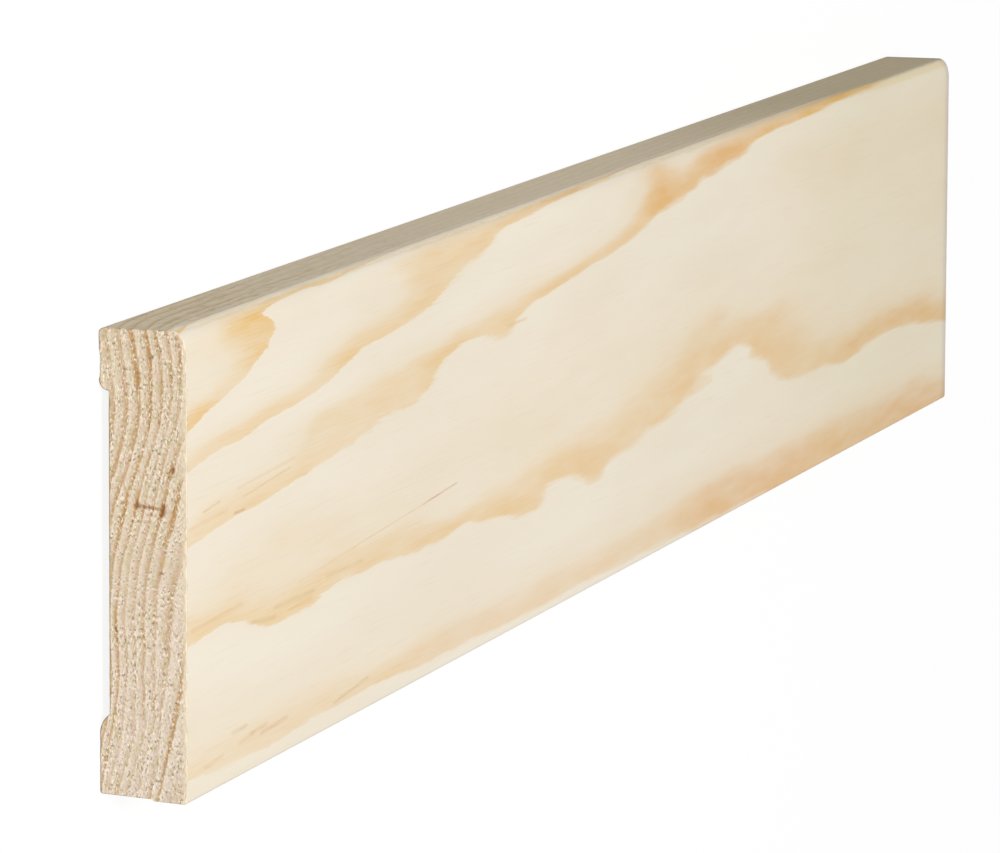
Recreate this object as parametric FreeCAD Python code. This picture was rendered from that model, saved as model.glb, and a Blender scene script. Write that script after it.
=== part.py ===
import FreeCAD, Part

import math
import os

# One length of machined skirting board, lying on its back with the show face up.
# X runs along the length, Y from the floor edge towards the top edge, Z from the wall to the room.
# All sizes are millimetres and degrees.

board_length = 600.0
board_height = 92.0
board_thickness = 18.0

# The back is relieved between two feet that bear on the wall.
relief_depth = 2.0
top_foot_width = 12.2
top_shoulder_radius = 2.2
floor_foot_width = 16.9
floor_shoulder_radius = 4.5

# The show face is eased over into the top edge, and the other three arrises are only broken.
top_arris_down_face = 5.0
top_arris_over_edge = 2.8
top_back_arris_radius = 1.0
floor_arris_radius = 0.8
floor_back_arris_radius = 0.6

# The floor edge is cut back towards the wall, and behind its front strip it steps clear of the floor.
floor_edge_angle = 2.8
floor_strip_width = 6.8
floor_strip_step = 0.35


def section_point(up_board, from_wall):
    """A point of the cross-section."""
    return FreeCAD.Vector(0, up_board, from_wall)


def line(start, end):
    """A straight side of the cross-section."""
    return Part.LineSegment(start, end).toShape()


def arc(start, middle, end):
    """A round side of the cross-section."""
    return Part.Arc(start, middle, end).toShape()


def rounded_corner(before, corner, after, radius):
    """The start, middle and end of the round that touches both sides of a corner."""
    to_before = (before - corner).normalize()
    to_after = (after - corner).normalize()
    half_angle = to_before.getAngle(to_after) / 2
    reach = radius / math.tan(half_angle)
    inward = (to_before + to_after).normalize()
    middle = corner + inward * (radius / math.sin(half_angle) - radius)
    return corner + to_before * reach, middle, corner + to_after * reach


def eased_top_arris(corner):
    """The quarter ellipse that eases the show face into the top edge, with its two ends."""
    on_face = corner - section_point(top_arris_down_face, 0)
    on_edge = corner - section_point(0, top_arris_over_edge)
    curve = Part.BezierCurve()
    curve.setPoles([on_face, corner, on_edge])
    curve.setWeight(2, math.sqrt(0.5))
    return on_face, curve.toShape(), on_edge


def foot_shoulder(relief_end, towards_foot, radius):
    """The round at the inner side of a foot, from the foot's flat up to the relief."""
    radius = max(radius, relief_depth)
    turn = math.acos((radius - relief_depth) / radius)
    flat_end = relief_end + towards_foot * radius * math.sin(turn)
    on_flat = section_point(flat_end, 0)
    middle = section_point(
        flat_end - towards_foot * radius * math.sin(turn / 2),
        radius - radius * math.cos(turn / 2),
    )
    on_relief = section_point(relief_end, relief_depth)
    return on_flat, middle, on_relief


def cross_section():
    """The closed outline of the board's section, as a face."""
    cut_back = math.tan(math.radians(floor_edge_angle))

    front_floor = section_point(0, board_thickness)
    front_top = section_point(board_height, board_thickness)
    back_top = section_point(board_height, 0)
    back_floor = section_point(board_thickness * cut_back + floor_strip_step, 0)
    strip_back = section_point(floor_strip_width * cut_back, board_thickness - floor_strip_width)
    step_top = strip_back + section_point(floor_strip_step, 0)

    on_face, top_arris, on_edge = eased_top_arris(front_top)
    top_back = rounded_corner(on_edge, back_top, section_point(0, 0), top_back_arris_radius)
    floor_back = rounded_corner(back_top, back_floor, step_top, floor_back_arris_radius)
    floor_front = rounded_corner(strip_back, front_floor, front_top, floor_arris_radius)
    top_flat, top_middle, top_relief = foot_shoulder(
        board_height - top_foot_width, 1, top_shoulder_radius
    )
    floor_flat, floor_middle, floor_relief = foot_shoulder(
        floor_foot_width, -1, floor_shoulder_radius
    )

    sides = [
        line(floor_front[2], on_face),
        top_arris,
        line(on_edge, top_back[0]),
        arc(*top_back),
        line(top_back[2], top_flat),
        arc(top_flat, top_middle, top_relief),
        line(top_relief, floor_relief),
        arc(floor_relief, floor_middle, floor_flat),
        line(floor_flat, floor_back[0]),
        arc(*floor_back),
        line(floor_back[2], step_top),
        line(step_top, strip_back),
        line(strip_back, floor_front[0]),
        arc(*floor_front),
    ]
    return Part.Face(Part.Wire(sides))


def skirting_board():
    """The board, centred on the origin in X and Y and lying on its feet at Z = 0."""
    board = cross_section().extrude(FreeCAD.Vector(board_length, 0, 0))
    box = board.BoundBox
    board.translate(FreeCAD.Vector(-box.Center.x, -box.Center.y, -box.ZMin))
    return board


os.makedirs("parts", exist_ok=True)
skirting_board().exportStep("parts/skirting_board.step")
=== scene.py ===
"""A short length of pine skirting board, lying on its back on a pale studio floor."""

import logging
import math
from dataclasses import dataclass, field
from enum import Enum

import bpy
import numpy as np
from mathutils import Matrix, Vector, noise
from mathutils.geometry import delaunay_2d_cdt


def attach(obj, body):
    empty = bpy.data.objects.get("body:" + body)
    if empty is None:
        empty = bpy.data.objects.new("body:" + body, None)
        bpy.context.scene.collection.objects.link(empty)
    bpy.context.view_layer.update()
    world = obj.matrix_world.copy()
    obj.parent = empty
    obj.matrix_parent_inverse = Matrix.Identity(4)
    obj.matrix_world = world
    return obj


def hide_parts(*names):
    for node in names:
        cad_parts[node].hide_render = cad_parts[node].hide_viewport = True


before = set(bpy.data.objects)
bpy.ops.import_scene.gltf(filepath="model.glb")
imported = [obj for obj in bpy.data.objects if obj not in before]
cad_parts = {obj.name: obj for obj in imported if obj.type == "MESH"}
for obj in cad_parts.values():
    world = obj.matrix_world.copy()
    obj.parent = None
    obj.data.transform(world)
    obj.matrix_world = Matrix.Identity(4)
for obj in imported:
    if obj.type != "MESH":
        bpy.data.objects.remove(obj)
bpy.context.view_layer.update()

MM = 0.001
TINY = 1e-12
LOG = logging.getLogger("skirting")

Pair = tuple[float, float]
Points = tuple[Pair, ...]
Place = tuple[float, float, float]
Colour = tuple[float, float, float]
Tints = tuple[tuple[float, Colour], ...]
Source = bpy.types.NodeSocket | float | Colour


def linear(red: float, green: float, blue: float) -> Colour:
    """Turns a colour as a screen shows it into the linear one that shaders take.

    Args:
        red: Red, from 0 to 255.
        green: Green, from 0 to 255.
        blue: Blue, from 0 to 255.

    Returns:
        The linear colour, from 0 to 1.
    """
    steps = []
    for level in (red, green, blue):
        share = level / 255
        steps.append(share / 12.92 if share <= 0.04045 else ((share + 0.055) / 1.055) ** 2.4)
    return tuple(steps)


def share_past(values: np.ndarray, start: float, over: float) -> np.ndarray:
    """How far along a stretch each value lies, from 0 at its start to 1 at its end and past it."""
    return np.clip((values - start) / over, 0, 1)


def gap_to_side(places: np.ndarray, start: np.ndarray, stop: np.ndarray) -> np.ndarray:
    """How far each place lies from a straight side.

    Args:
        places: The places.
        start: Where the side starts.
        stop: Where it stops.

    Returns:
        The distances.
    """
    side = stop - start
    share = np.clip((places - start) @ side / max(side @ side, TINY), 0, 1)
    return np.linalg.norm(places - start - share[:, None] * side, axis=1)


class End(Enum):
    """The two sawn ends of the board, by the side of the middle that they lie on."""

    NEAR = -1
    FAR = 1


class Attribute(Enum):
    """What each point of the board's surface carries for its finish."""

    RING = "ring_number"
    RICHNESS = "latewood_richness"
    BLUSH = "latewood_blush"
    RESIN = "resin"
    ROUGH = "rough_machined"
    # Painted shade along the near end's wall side, as positive values, and painted highlight along
    # its show face, as negative ones.
    RIM_SHADE_AND_HIGHLIGHT = "rim_shade"


@dataclass(frozen=True)
class GrowthLine:
    """A line on the show face along which the wood has one age.

    Args:
        ring: The age, counted in rings. A whole number is where dense late wood stops short.
        points: Places in millimetres, from the near end and from the floor edge.
    """

    ring: float
    points: Points


# The first ring only just breaks the surface, as a hook by the near end.
FIRST_RING = (
    GrowthLine(1.0, (
        (0, 72.2), (5, 73.1), (10, 74.4), (20, 76.2), (30, 77.8), (38, 80.3), (45, 82.6), (50, 85),
        (51.8, 86.8), (50, 88.3), (47, 89.5), (45, 90.2), (50, 91), (60, 91.7), (75, 92),
        (100, 92.2), (115, 92.7), (125, 93.1),
    )),
    GrowthLine(0.84, (
        (20, 78.4), (30, 80), (38, 82.7), (44, 86), (42, 89), (38, 90.6), (45, 91.3), (60, 92.1),
        (80, 92.5), (100, 92.8), (113, 93.2),
    )),
    GrowthLine(0.62, (
        (0, 75), (10, 78), (20, 81), (25, 83.5), (22, 86.5), (18, 89), (22, 91.5),
        (40, 92.2), (60, 92.8), (90, 93.4),
    )),
    GrowthLine(0.45, ((0, 78), (10, 82), (8, 86), (8, 89), (14, 92))),
    GrowthLine(0.3, ((0, 83), (0, 88))),
    GrowthLine(0.0, ((0, 91.7),)),
)

SECOND_RING = (
    GrowthLine(2.0, (
        (0, 64.5), (10, 65.7), (20, 66.6), (30, 66.7), (45, 68.4), (60, 69.3), (75, 70.3), (85, 71.6),
        (95, 73.4), (105, 75.2), (120, 76), (135, 77.2), (150, 78.8), (160, 80.7), (168, 82.8),
        (175, 84.2), (182, 85.3), (190, 86.8), (194, 88), (198, 89.2), (205, 90), (215, 90.3),
        (230, 91), (240, 91.6), (255, 91.9), (270, 92.1), (280, 92.6), (292, 93.1),
    )),
    GrowthLine(1.7, (
        (0, 66.3), (10, 68.5), (20, 69.2), (30, 69.6), (45, 71.3), (60, 71.8), (72, 73), (80, 75),
        (90, 77), (100, 78.6), (115, 79.8), (128, 81), (136, 82.5), (137, 85), (138, 88),
        (141, 90.5), (150, 91), (165, 91.5), (180, 91.9), (195, 91.8), (210, 92), (225, 92.7),
        (240, 93.2),
    )),
    GrowthLine(1.55, ((122, 83), (122, 88), (128, 91.3))),
    GrowthLine(1.3, ((30, 73.5), (60, 78), (92, 84), (92, 89), (105, 91.3))),
)

THIRD_RING = (
    GrowthLine(3.0, (
        (0, 49.8), (10, 50.8), (20, 51.6), (35, 52.3), (50, 53.1), (60, 53.8), (80, 55.1),
        (100, 56.5), (110, 57.6), (120, 58.8), (128, 59.3), (135, 59), (143, 60), (150, 61.5),
        (155, 64), (160, 66), (170, 68), (180, 68.3), (190, 67.3), (200, 65.7), (207, 66.5),
        (212, 68.7), (225, 71), (240, 72), (255, 73.2), (270, 74.3), (290, 75.8), (305, 77.2),
        (320, 80), (333, 81.3), (345, 82.2), (352, 83), (357, 84.5), (365, 84.5), (375, 85.3),
        (390, 86.4), (397, 87.4), (405, 88.9), (415, 89.5), (430, 90), (450, 90.2), (462, 90.3),
        (475, 91), (490, 91.3), (505, 91.6), (520, 92), (540, 92.6),
    )),
    GrowthLine(2.7, (
        (0, 53), (10, 56), (30, 56.8), (45, 57), (60, 58), (68, 60), (72, 63), (78, 65.5),
        (100, 66.3), (120, 67.5), (140, 68.6), (160, 69.7), (180, 71), (200, 72.3), (225, 73.6),
        (240, 74.5), (255, 75.5), (270, 76.5), (285, 78), (297, 80), (304, 82), (309, 84),
        (314, 86), (317, 88), (320, 90.5), (322, 91), (328, 89.9), (335, 88.9), (342, 88.1),
        (348, 88.6), (355, 90), (365, 91), (380, 91.4), (395, 91.8), (405, 92), (420, 92.1),
        (440, 92.3), (455, 92.6), (465, 93.2),
    )),
    GrowthLine(2.45, ((300, 88), (308, 92), (342, 91), (380, 93.2))),
    GrowthLine(3.07, (
        (135, 57.3), (150, 59.3), (172, 66.5), (200, 64), (345, 80.5), (357, 82.4), (368, 83),
        (382, 84.2), (397, 85.6),
    )),
    GrowthLine(2.3, ((30, 61), (100, 70.5), (170, 76), (230, 81), (280, 85), (342, 93))),
)

FOURTH_RING = (
    GrowthLine(4.0, (
        (0, 30), (8, 30.6), (15, 31.5), (22, 31.9), (30, 30.7), (36, 29.5), (42, 27.8), (50, 27.2),
        (65, 27), (75, 27.5), (85, 28.8), (95, 29.5), (105, 28.8), (120, 29), (135, 28.2),
        (150, 27.8), (165, 28.3), (175, 29), (183, 27.8), (200, 26.5), (210, 25.3), (215, 24.5),
        (222, 24.5), (230, 25.2), (233, 27), (232, 28.5), (240, 28.5), (250, 28.5), (256, 27.5),
        (262, 25.5), (270, 24.3), (277, 25.5), (283, 27.5), (300, 28.3), (310, 30), (325, 30.5),
        (335, 32), (345, 33.5), (355, 34.3), (366, 35), (360, 37), (375, 39.3), (395, 40),
        (402, 37.5), (402, 36), (408, 35), (415, 33.5), (418, 31.5), (424, 29), (432, 27),
        (440, 26), (455, 25), (470, 25.2), (480, 24.5), (490, 23.5), (510, 25), (525, 26),
        (540, 26), (555, 25.3), (565, 24.5), (575, 23.3), (590, 22), (600, 20.6),
    )),
    GrowthLine(3.7, (
        (0, 35), (15, 35.5), (30, 35.8), (38, 34.5), (50, 32.3), (65, 32.7), (80, 34), (90, 35),
        (110, 34.2), (130, 34), (150, 32), (170, 31.2), (185, 32), (200, 32.4), (215, 33.2),
        (240, 35), (260, 35.5), (280, 35.8), (295, 37.5), (305, 39), (318, 40.8), (330, 43),
        (345, 45.5), (355, 48.5), (364, 50), (372, 48.8), (380, 46.2), (400, 45.5), (420, 45),
        (435, 44), (440, 40.5), (447, 37), (450, 34), (460, 31.5), (480, 31), (495, 30),
        (520, 31.2), (550, 31), (575, 29.8), (600, 27),
    )),
    GrowthLine(3.55, (
        (0, 41), (20, 44), (50, 47), (90, 46), (150, 46), (180, 49), (210, 51), (240, 51),
        (290, 53), (310, 53.5), (340, 53), (400, 50),
    )),
    GrowthLine(3.32, ((100, 51), (200, 59), (300, 65), (400, 68))),
    GrowthLine(3.45, ((480, 55), (480, 74), (560, 50), (560, 75), (600, 60))),
    GrowthLine(3.3, ((600, 88), (560, 88))),
    GrowthLine(4.08, (
        (200, 24.3), (222, 22.6), (237, 26.3), (248, 26.3), (268, 22.4), (285, 25.3), (360, 32.3),
        (382, 37.2), (395, 37.8), (412, 31.5), (430, 25),
    )),
)

FIFTH_RING = (
    GrowthLine(5.0, (
        (0, 4.5), (20, 3.6), (50, 3), (90, 4), (110, 4.2), (150, 3), (200, 2.3), (260, 2.3),
        (310, 1.9), (360, 1.2), (400, 0.7), (440, -0.5), (500, -1.5), (600, -2),
    )),
    GrowthLine(4.7, (
        (0, 9), (20, 9.2), (45, 9), (60, 9.5), (80, 9.5), (110, 7.4), (160, 8.3), (200, 7.8),
        (240, 7.4), (300, 7.5), (340, 8.5), (360, 9.5), (400, 8.8), (460, 9.5), (500, 8.2),
        (550, 7.5), (565, 8), (590, 5),
    )),
    GrowthLine(4.35, ((50, 17), (150, 17), (250, 15), (350, 17), (450, 16), (550, 16))),
)


# The rings as they cross the near end, with places up from the floor edge and out from the wall.
END_RINGS = (
    GrowthLine(-6.0, (
        (91, 1.8), (89, 2.1), (87, 2.5), (83, 2.9), (80, 3.3), (75, 3.4), (73, 3.2), (71, 2.8),
        (69, 2.4), (66, 1.8),
    )),
    GrowthLine(-5.0, (
        (91, 4.4), (89, 4.7), (87, 5.1), (83, 5.6), (80, 6.0), (75, 6.0), (73, 5.7), (71, 5.3),
        (69, 4.8), (67, 4.3), (65, 3.7), (63, 2.9), (60, 2.2),
    )),
    GrowthLine(-4.0, (
        (91, 7.2), (89, 7.6), (87, 7.9), (83, 8.3), (80, 8.6), (77, 8.6), (75, 8.5), (73, 8.2),
        (71, 7.7), (69, 7.2), (67, 6.7), (65, 6.1), (63, 5.4), (61, 4.5), (59, 3.8), (57, 3.2),
        (55, 2.8), (52, 2.3),
    )),
    GrowthLine(-3.0, (
        (91, 10.1), (89, 10.5), (87, 10.8), (83, 11.0), (79, 11.0), (75, 10.8), (73, 10.5),
        (71, 10.0), (69, 9.4), (67, 8.8), (65, 8.1), (63, 7.4), (61, 6.6), (59, 6.0), (57, 5.7),
        (55, 5.2), (53, 4.7), (51, 4.2), (49, 3.6), (47, 3.1), (44, 2.8), (41, 2.6), (36, 2.2),
        (29, 2.4), (25, 2.7), (21, 2.5), (18, 2.1), (15, 1.5), (11, 0.6),
    )),
    GrowthLine(-2.0, (
        (91, 12.0), (89, 12.5), (87, 12.9), (83, 13.2), (79, 13.2), (75, 12.8), (73, 12.4),
        (71, 11.8), (69, 11.3), (67, 10.6), (65, 10.0), (63, 9.3), (61, 8.7), (59, 8.2),
        (57, 7.8), (55, 7.3), (53, 6.7), (51, 6.2), (49, 5.5), (47, 5.0), (45, 4.6), (43, 4.4),
        (41, 4.2), (39, 3.9), (36, 3.6), (33, 3.8), (30, 4.0), (26, 4.2), (23, 4.1), (20, 3.8),
        (17, 3.4), (15, 3.0), (11, 2.1), (8, 1.7), (5, 1.0),
    )),
    GrowthLine(-1.0, (
        (91, 14.3), (89, 14.7), (86, 15.0), (82, 15.2), (79, 15.2), (77, 14.8), (75, 14.5),
        (73, 14.0), (71, 13.4), (69, 12.9), (67, 12.3), (65, 11.6), (63, 11.0), (61, 10.3),
        (59, 9.8), (57, 9.4), (55, 8.9), (53, 8.3), (51, 7.7), (49, 7.0), (47, 6.5), (45, 6.2),
        (40, 5.7), (36, 5.3), (32, 5.6), (28, 5.9), (24, 5.8), (20, 5.4), (17, 5.0), (13, 4.6),
        (9, 4.0), (5, 2.5),
    )),
    GrowthLine(0.0, (
        (91, 16.5), (89, 16.9), (87, 17.0), (83, 17.2), (79, 16.9), (77, 16.7), (75, 16.3),
        (73, 15.9), (71, 15.0), (69, 14.3), (67, 13.7), (65, 13.1), (63, 12.6), (61, 12.1),
        (59, 11.7), (57, 11.2), (55, 10.7), (53, 10.1), (51, 9.6), (49, 9.0), (47, 8.5),
        (44, 8.0), (41, 7.7), (38, 7.4), (35, 7.2), (32, 7.5), (28, 7.6), (22, 7.6), (18, 7.3),
        (15, 7.4), (11, 6.7), (9, 6.1), (7, 5.6), (5, 4.8), (3, 4.2), (1.5, 3.8),
    )),
    GrowthLine(1.0, (
        (72.2, 18.0), (71, 17.4), (69, 16.6), (67, 15.9), (65, 15.2), (63, 14.6),
        (61, 14.2), (59, 13.7), (57, 13.2), (55, 12.7), (53, 12.1), (51, 11.5), (49, 11.1),
        (47, 10.6), (45, 10.2), (43, 9.8), (39, 9.5), (35, 9.3), (31, 9.5), (28, 9.4), (25, 9.1),
        (22, 9.5), (19, 9.3), (16, 9.6), (13, 9.2), (11, 8.7), (9, 8.0), (7, 7.4), (5, 6.7),
        (3, 6.3), (1.5, 5.8),
    )),
    GrowthLine(2.0, (
        (64.5, 18.0), (63, 17.3), (61, 16.8), (59, 16.4), (57, 16.1), (55, 15.6), (53, 15.0),
        (51, 14.3), (49, 13.8), (47, 13.4), (45, 12.9), (43, 12.4), (41, 12.0), (35, 11.8),
        (29, 11.5), (23, 11.5), (17, 11.5), (15, 11.2), (13, 10.6), (11, 10.2), (9, 9.4),
        (7, 8.9), (3, 8.4), (1.5, 7.9),
    )),
    GrowthLine(3.0, (
        (49.8, 18.0), (47, 16.9), (45, 16.5), (43, 15.9), (41, 15.5), (37, 15.1), (33, 14.6),
        (30, 14.5), (27, 14.2), (25, 14.0), (23, 13.6), (21, 13.2), (19, 12.9), (17, 12.6),
        (13, 12.3), (7, 12.0), (5, 11.4), (3, 10.8), (1.5, 10.6),
    )),
    GrowthLine(4.0, (
        (30.5, 18.0), (29, 17.7), (25, 17.3), (23, 17.1), (21, 16.8), (19, 16.4), (17, 16.1),
        (15, 15.6), (13, 15.2), (11, 14.8), (9, 14.1), (7, 13.7), (5, 13.2), (1.5, 12.4),
    )),
    GrowthLine(5.0, ((4.5, 18.0), (3, 17.3), (1.5, 17.0))),
    GrowthLine(0.4, ((83, 18.0), (89, 17.7))),
    GrowthLine(3.55, (
        (28, 16.6), (23, 16.0), (19, 15.3), (15, 14.4), (11, 13.7), (7, 12.8), (3, 12.0),
    )),
    GrowthLine(2.7, ((53, 18.0),)),
    GrowthLine(3.6, ((38, 18.0),)),
    GrowthLine(4.65, ((9, 18.0),)),
)


@dataclass
class BoardSection:
    """The board's section, in millimetres up from the floor edge and out from the wall.

    Args:
        height: From the floor edge to the top edge.
        thickness: From the wall to the show face.
        relief: Depth of the relieved back.
        top_foot: Width of the foot by the top edge, with its shoulder.
        floor_foot: Width of the foot by the floor edge, with its shoulder.
        top_shoulder: Radius of the top foot's inner side.
        floor_shoulder: Radius of the floor foot's inner side.
        easing_down: How far down the show face its easing into the top edge starts.
        easing_over: How far over the top edge the easing ends.
        floor_arris: Radius of its arris by the floor.
        top_back_arris: Radius of the top edge's arris by the wall.
        floor_back_arris: Radius of the floor edge's arris by the wall.
        floor_angle: Degrees by which the floor edge is cut back.
        strip: Width of the floor edge's front strip.
        step: How far the rest of the floor edge steps back.
        roll: How much wider the easing rolls out, for each millimetre that it falls back.
        easing_steps: How many flats the easing has.
        round_steps: How many flats a quarter round of one millimetre has.
        least_steps: How many flats even the smallest round has.
        face_spacing: The widest flat of the show face.
        edge_spacing: The widest flat of the two edges and the feet.
        back_spacing: The widest flat of the relieved back.
    """

    height: float = 92.0
    thickness: float = 18.0
    relief: float = 2.0
    top_foot: float = 12.2
    floor_foot: float = 16.9
    top_shoulder: float = 2.2
    floor_shoulder: float = 4.5
    easing_down: float = 5.0
    easing_over: float = 2.8
    floor_arris: float = 0.8
    top_back_arris: float = 1.0
    floor_back_arris: float = 0.6
    floor_angle: float = 2.8
    strip: float = 6.8
    step: float = 0.35
    roll: float = 0.38
    easing_steps: int = 18
    round_steps: float = 5.0
    least_steps: int = 4
    face_spacing: float = 0.8
    edge_spacing: float = 0.8
    back_spacing: float = 1.3

    @staticmethod
    def straight(start: Pair, end: Pair, spacing: float) -> list[np.ndarray]:
        """Points along a flat side, without its last one.

        Args:
            start: Where the side starts.
            end: Where it ends.
            spacing: The widest step between points.

        Returns:
            The points, evenly spaced.
        """
        start, end = np.array(start, float), np.array(end, float)
        count = max(1, math.ceil(np.linalg.norm(end - start) / spacing))
        return [start + (end - start) * step / count for step in range(count)]

    def bow(self, centre: Pair, radius: float, first: float, last: float) -> list[np.ndarray]:
        """Points along a round, without its last one.

        Args:
            centre: The centre of the round.
            radius: Its radius.
            first: Its first angle in degrees, from straight up the board towards the room.
            last: Its last angle.

        Returns:
            The points.
        """
        steps = math.ceil(abs(last - first) / 90 * self.round_steps * radius**0.5)
        steps = max(self.least_steps, steps)
        turns = np.radians(np.linspace(first, last, steps + 1)[:-1])
        return [np.add(centre, (radius * math.cos(turn), radius * math.sin(turn))) for turn in turns]

    def easing(self) -> list[np.ndarray]:
        """Points along the quarter ellipse from the show face to the top edge, without its last one.

        Returns:
            The points.
        """
        down, over = self.easing_down, self.easing_over
        centre = (self.height - down, self.thickness - over)
        turns = np.linspace(0, math.pi / 2, self.easing_steps + 1)[:-1]
        return [np.add(centre, (down * math.sin(turn), over * math.cos(turn))) for turn in turns]

    def front(self, up: np.ndarray) -> np.ndarray:
        """How far out from the wall the show face and its easing lie, at distances up the board."""
        past = np.clip((up - self.height + self.easing_down) / self.easing_down, 0, 1)
        return self.thickness - self.easing_over * (1 - np.sqrt(1 - past**2))

    def rolled(self, up: np.ndarray) -> np.ndarray:
        """Distances up the show face, with its easing rolled out flat."""
        return up + self.roll * (self.thickness - self.front(up))

    def back(self, up: np.ndarray) -> np.ndarray:
        """How far out from the wall the back lies.

        Args:
            up: Distances from the floor edge, in millimetres.

        Returns:
            The distances from the wall.
        """
        wall_side = np.array([place for place in self.outline() if place[1] <= self.relief])
        order = np.argsort(wall_side[:, 0])
        return np.interp(up, wall_side[order, 0], wall_side[order, 1])

    def outline(self) -> np.ndarray:
        """The closed outline, from the foot of the show face up it, and round by the back.

        Returns:
            An array of points, as up the board and out from the wall.
        """
        tilt = self.floor_angle
        cut, lean = math.tan(math.radians(tilt)), math.cos(math.radians(tilt))
        face, back = self.thickness, 0.0
        step_out = face - self.strip
        just_behind = step_out - 1e-6

        def floor_edge(out: float) -> float:
            """How far up the floor edge lies, at a distance out from the wall."""
            lift = self.step if out < step_out else 0.0
            return (face - out) * cut + lift

        def turned(radius: float) -> float:
            """How many degrees a shoulder turns, from the foot's flat up to the relief."""
            return math.degrees(math.acos((radius - self.relief) / radius))

        top, spacing = self.height, self.edge_spacing
        arris, wall, top_wall = self.floor_arris, self.floor_back_arris, self.top_back_arris
        low = floor_edge(face - arris) + arris / lean
        back_low = floor_edge(wall) + wall / lean
        high, top_turn = self.top_shoulder, turned(self.top_shoulder)
        deep, low_turn = self.floor_shoulder, turned(self.floor_shoulder)
        top_flat = top - self.top_foot + high * math.sin(math.radians(top_turn))
        low_flat = self.floor_foot - deep * math.sin(math.radians(low_turn))
        relief_ends = (top - self.top_foot, self.relief), (self.floor_foot, self.relief)

        points = self.straight((low, face), (top - self.easing_down, face), self.face_spacing)
        points += self.easing()
        points += self.straight((top, face - self.easing_over), (top, top_wall), spacing)
        points += self.bow((top - top_wall, top_wall), top_wall, 0, -90)
        points += self.straight((top - top_wall, back), (top_flat, back), spacing)
        points += self.bow((top_flat, high), high, -90, -90 - top_turn)
        points += self.straight(*relief_ends, self.back_spacing)
        points += self.bow((low_flat, deep), deep, -90 + low_turn, -90)
        points += self.straight((low_flat, back), (back_low, back), spacing)
        points += self.bow((back_low, wall), wall, -90, -180 + tilt)
        points += self.straight(
            (floor_edge(wall), wall), (floor_edge(just_behind), step_out), spacing
        )
        points += self.straight(
            (floor_edge(step_out), step_out), (floor_edge(face - arris), face - arris), spacing
        )
        points += self.bow((low, face - arris), arris, -180 + tilt, -270)
        return np.array(points)

    @staticmethod
    def turn(outline: np.ndarray) -> int:
        """Which way round an outline runs, with up as first direction and out as second.

        Args:
            outline: The outline.

        Returns:
            1 where it runs anticlockwise, and else -1.
        """
        ahead = np.roll(outline, -1, axis=0)
        area = (outline[:, 0] * ahead[:, 1] - ahead[:, 0] * outline[:, 1]).sum()
        return 1 if area > 0 else -1

    @staticmethod
    def holds(places: np.ndarray, outline: np.ndarray, margin: float) -> np.ndarray:
        """Which places lie inside a closed outline, and clear of it.

        Args:
            places: The places.
            outline: The outline.
            margin: How far from the outline they have to be.

        Returns:
            True for each place that does.
        """
        inside = np.zeros(len(places), bool)
        clear = np.ones(len(places), bool)
        for start, stop in zip(outline, np.roll(outline, -1, axis=0)):
            side = stop - start
            crosses = (start[1] > places[:, 1]) != (stop[1] > places[:, 1])
            crossing = start[0] + (places[:, 1] - start[1]) * side[0] / (side[1] or TINY)
            inside ^= crosses & (places[:, 0] < crossing)
            if margin:
                clear &= gap_to_side(places, start, stop) > margin
        return inside & clear


@dataclass
class BentSheet:
    """A smooth bent sheet through growth lines, which gives the wood's age between them.

    Args:
        lines: The growth lines.
        stretch: How much longer than wide the figure runs, along the lines' first direction.
        give: How far the sheet may pass by a point of a line, as a share of a ring.
        at_once: How many places are worked out at a time.
        knots: The lines' points, squeezed along their first direction.
        weights: How much each knot pulls, and the three numbers of the sheet's own slope.
    """

    lines: tuple[GrowthLine, ...]
    stretch: float = 1.0
    give: float = 0.02
    at_once: int = 20000
    knots: np.ndarray = field(init=False)
    weights: np.ndarray = field(init=False)

    def __post_init__(self) -> None:
        """Bends the sheet to the growth lines."""
        places = [point for line in self.lines for point in line.points]
        ages = [line.ring for line in self.lines for _ in line.points]
        self.knots = np.array(places, float) / (self.stretch, 1)
        count = len(places)
        level = np.c_[np.ones(count), self.knots]
        pull = self.bend(self.knots) + np.eye(count) * self.give
        whole = np.block([[pull, level], [level.T, np.zeros((3, 3))]])
        self.weights = np.linalg.solve(whole, np.r_[ages, np.zeros(3)])

    def bend(self, places: np.ndarray) -> np.ndarray:
        """How much each knot lifts the sheet at each place.

        Args:
            places: Places on the sheet, squeezed along the lines' first direction.

        Returns:
            One row for each place, with a number for each knot.
        """
        square = ((places[:, None] - self.knots[None]) ** 2).sum(-1)
        return 0.5 * square * np.log(np.maximum(square, TINY))

    def at(self, first: np.ndarray, second: np.ndarray) -> np.ndarray:
        """The age at each place.

        Args:
            first: Distances in the lines' first direction, in millimetres.
            second: Distances in their second direction.

        Returns:
            The ages, in rings.
        """
        places = np.c_[first / self.stretch, second]
        knots = len(self.knots)
        ages = np.empty(len(places))
        for start in range(0, len(places), self.at_once):
            part = places[start : start + self.at_once]
            flat = self.weights[knots] + part @ self.weights[knots + 1 :]
            ages[start : start + self.at_once] = self.bend(part) @ self.weights[:knots] + flat
        return ages


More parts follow.
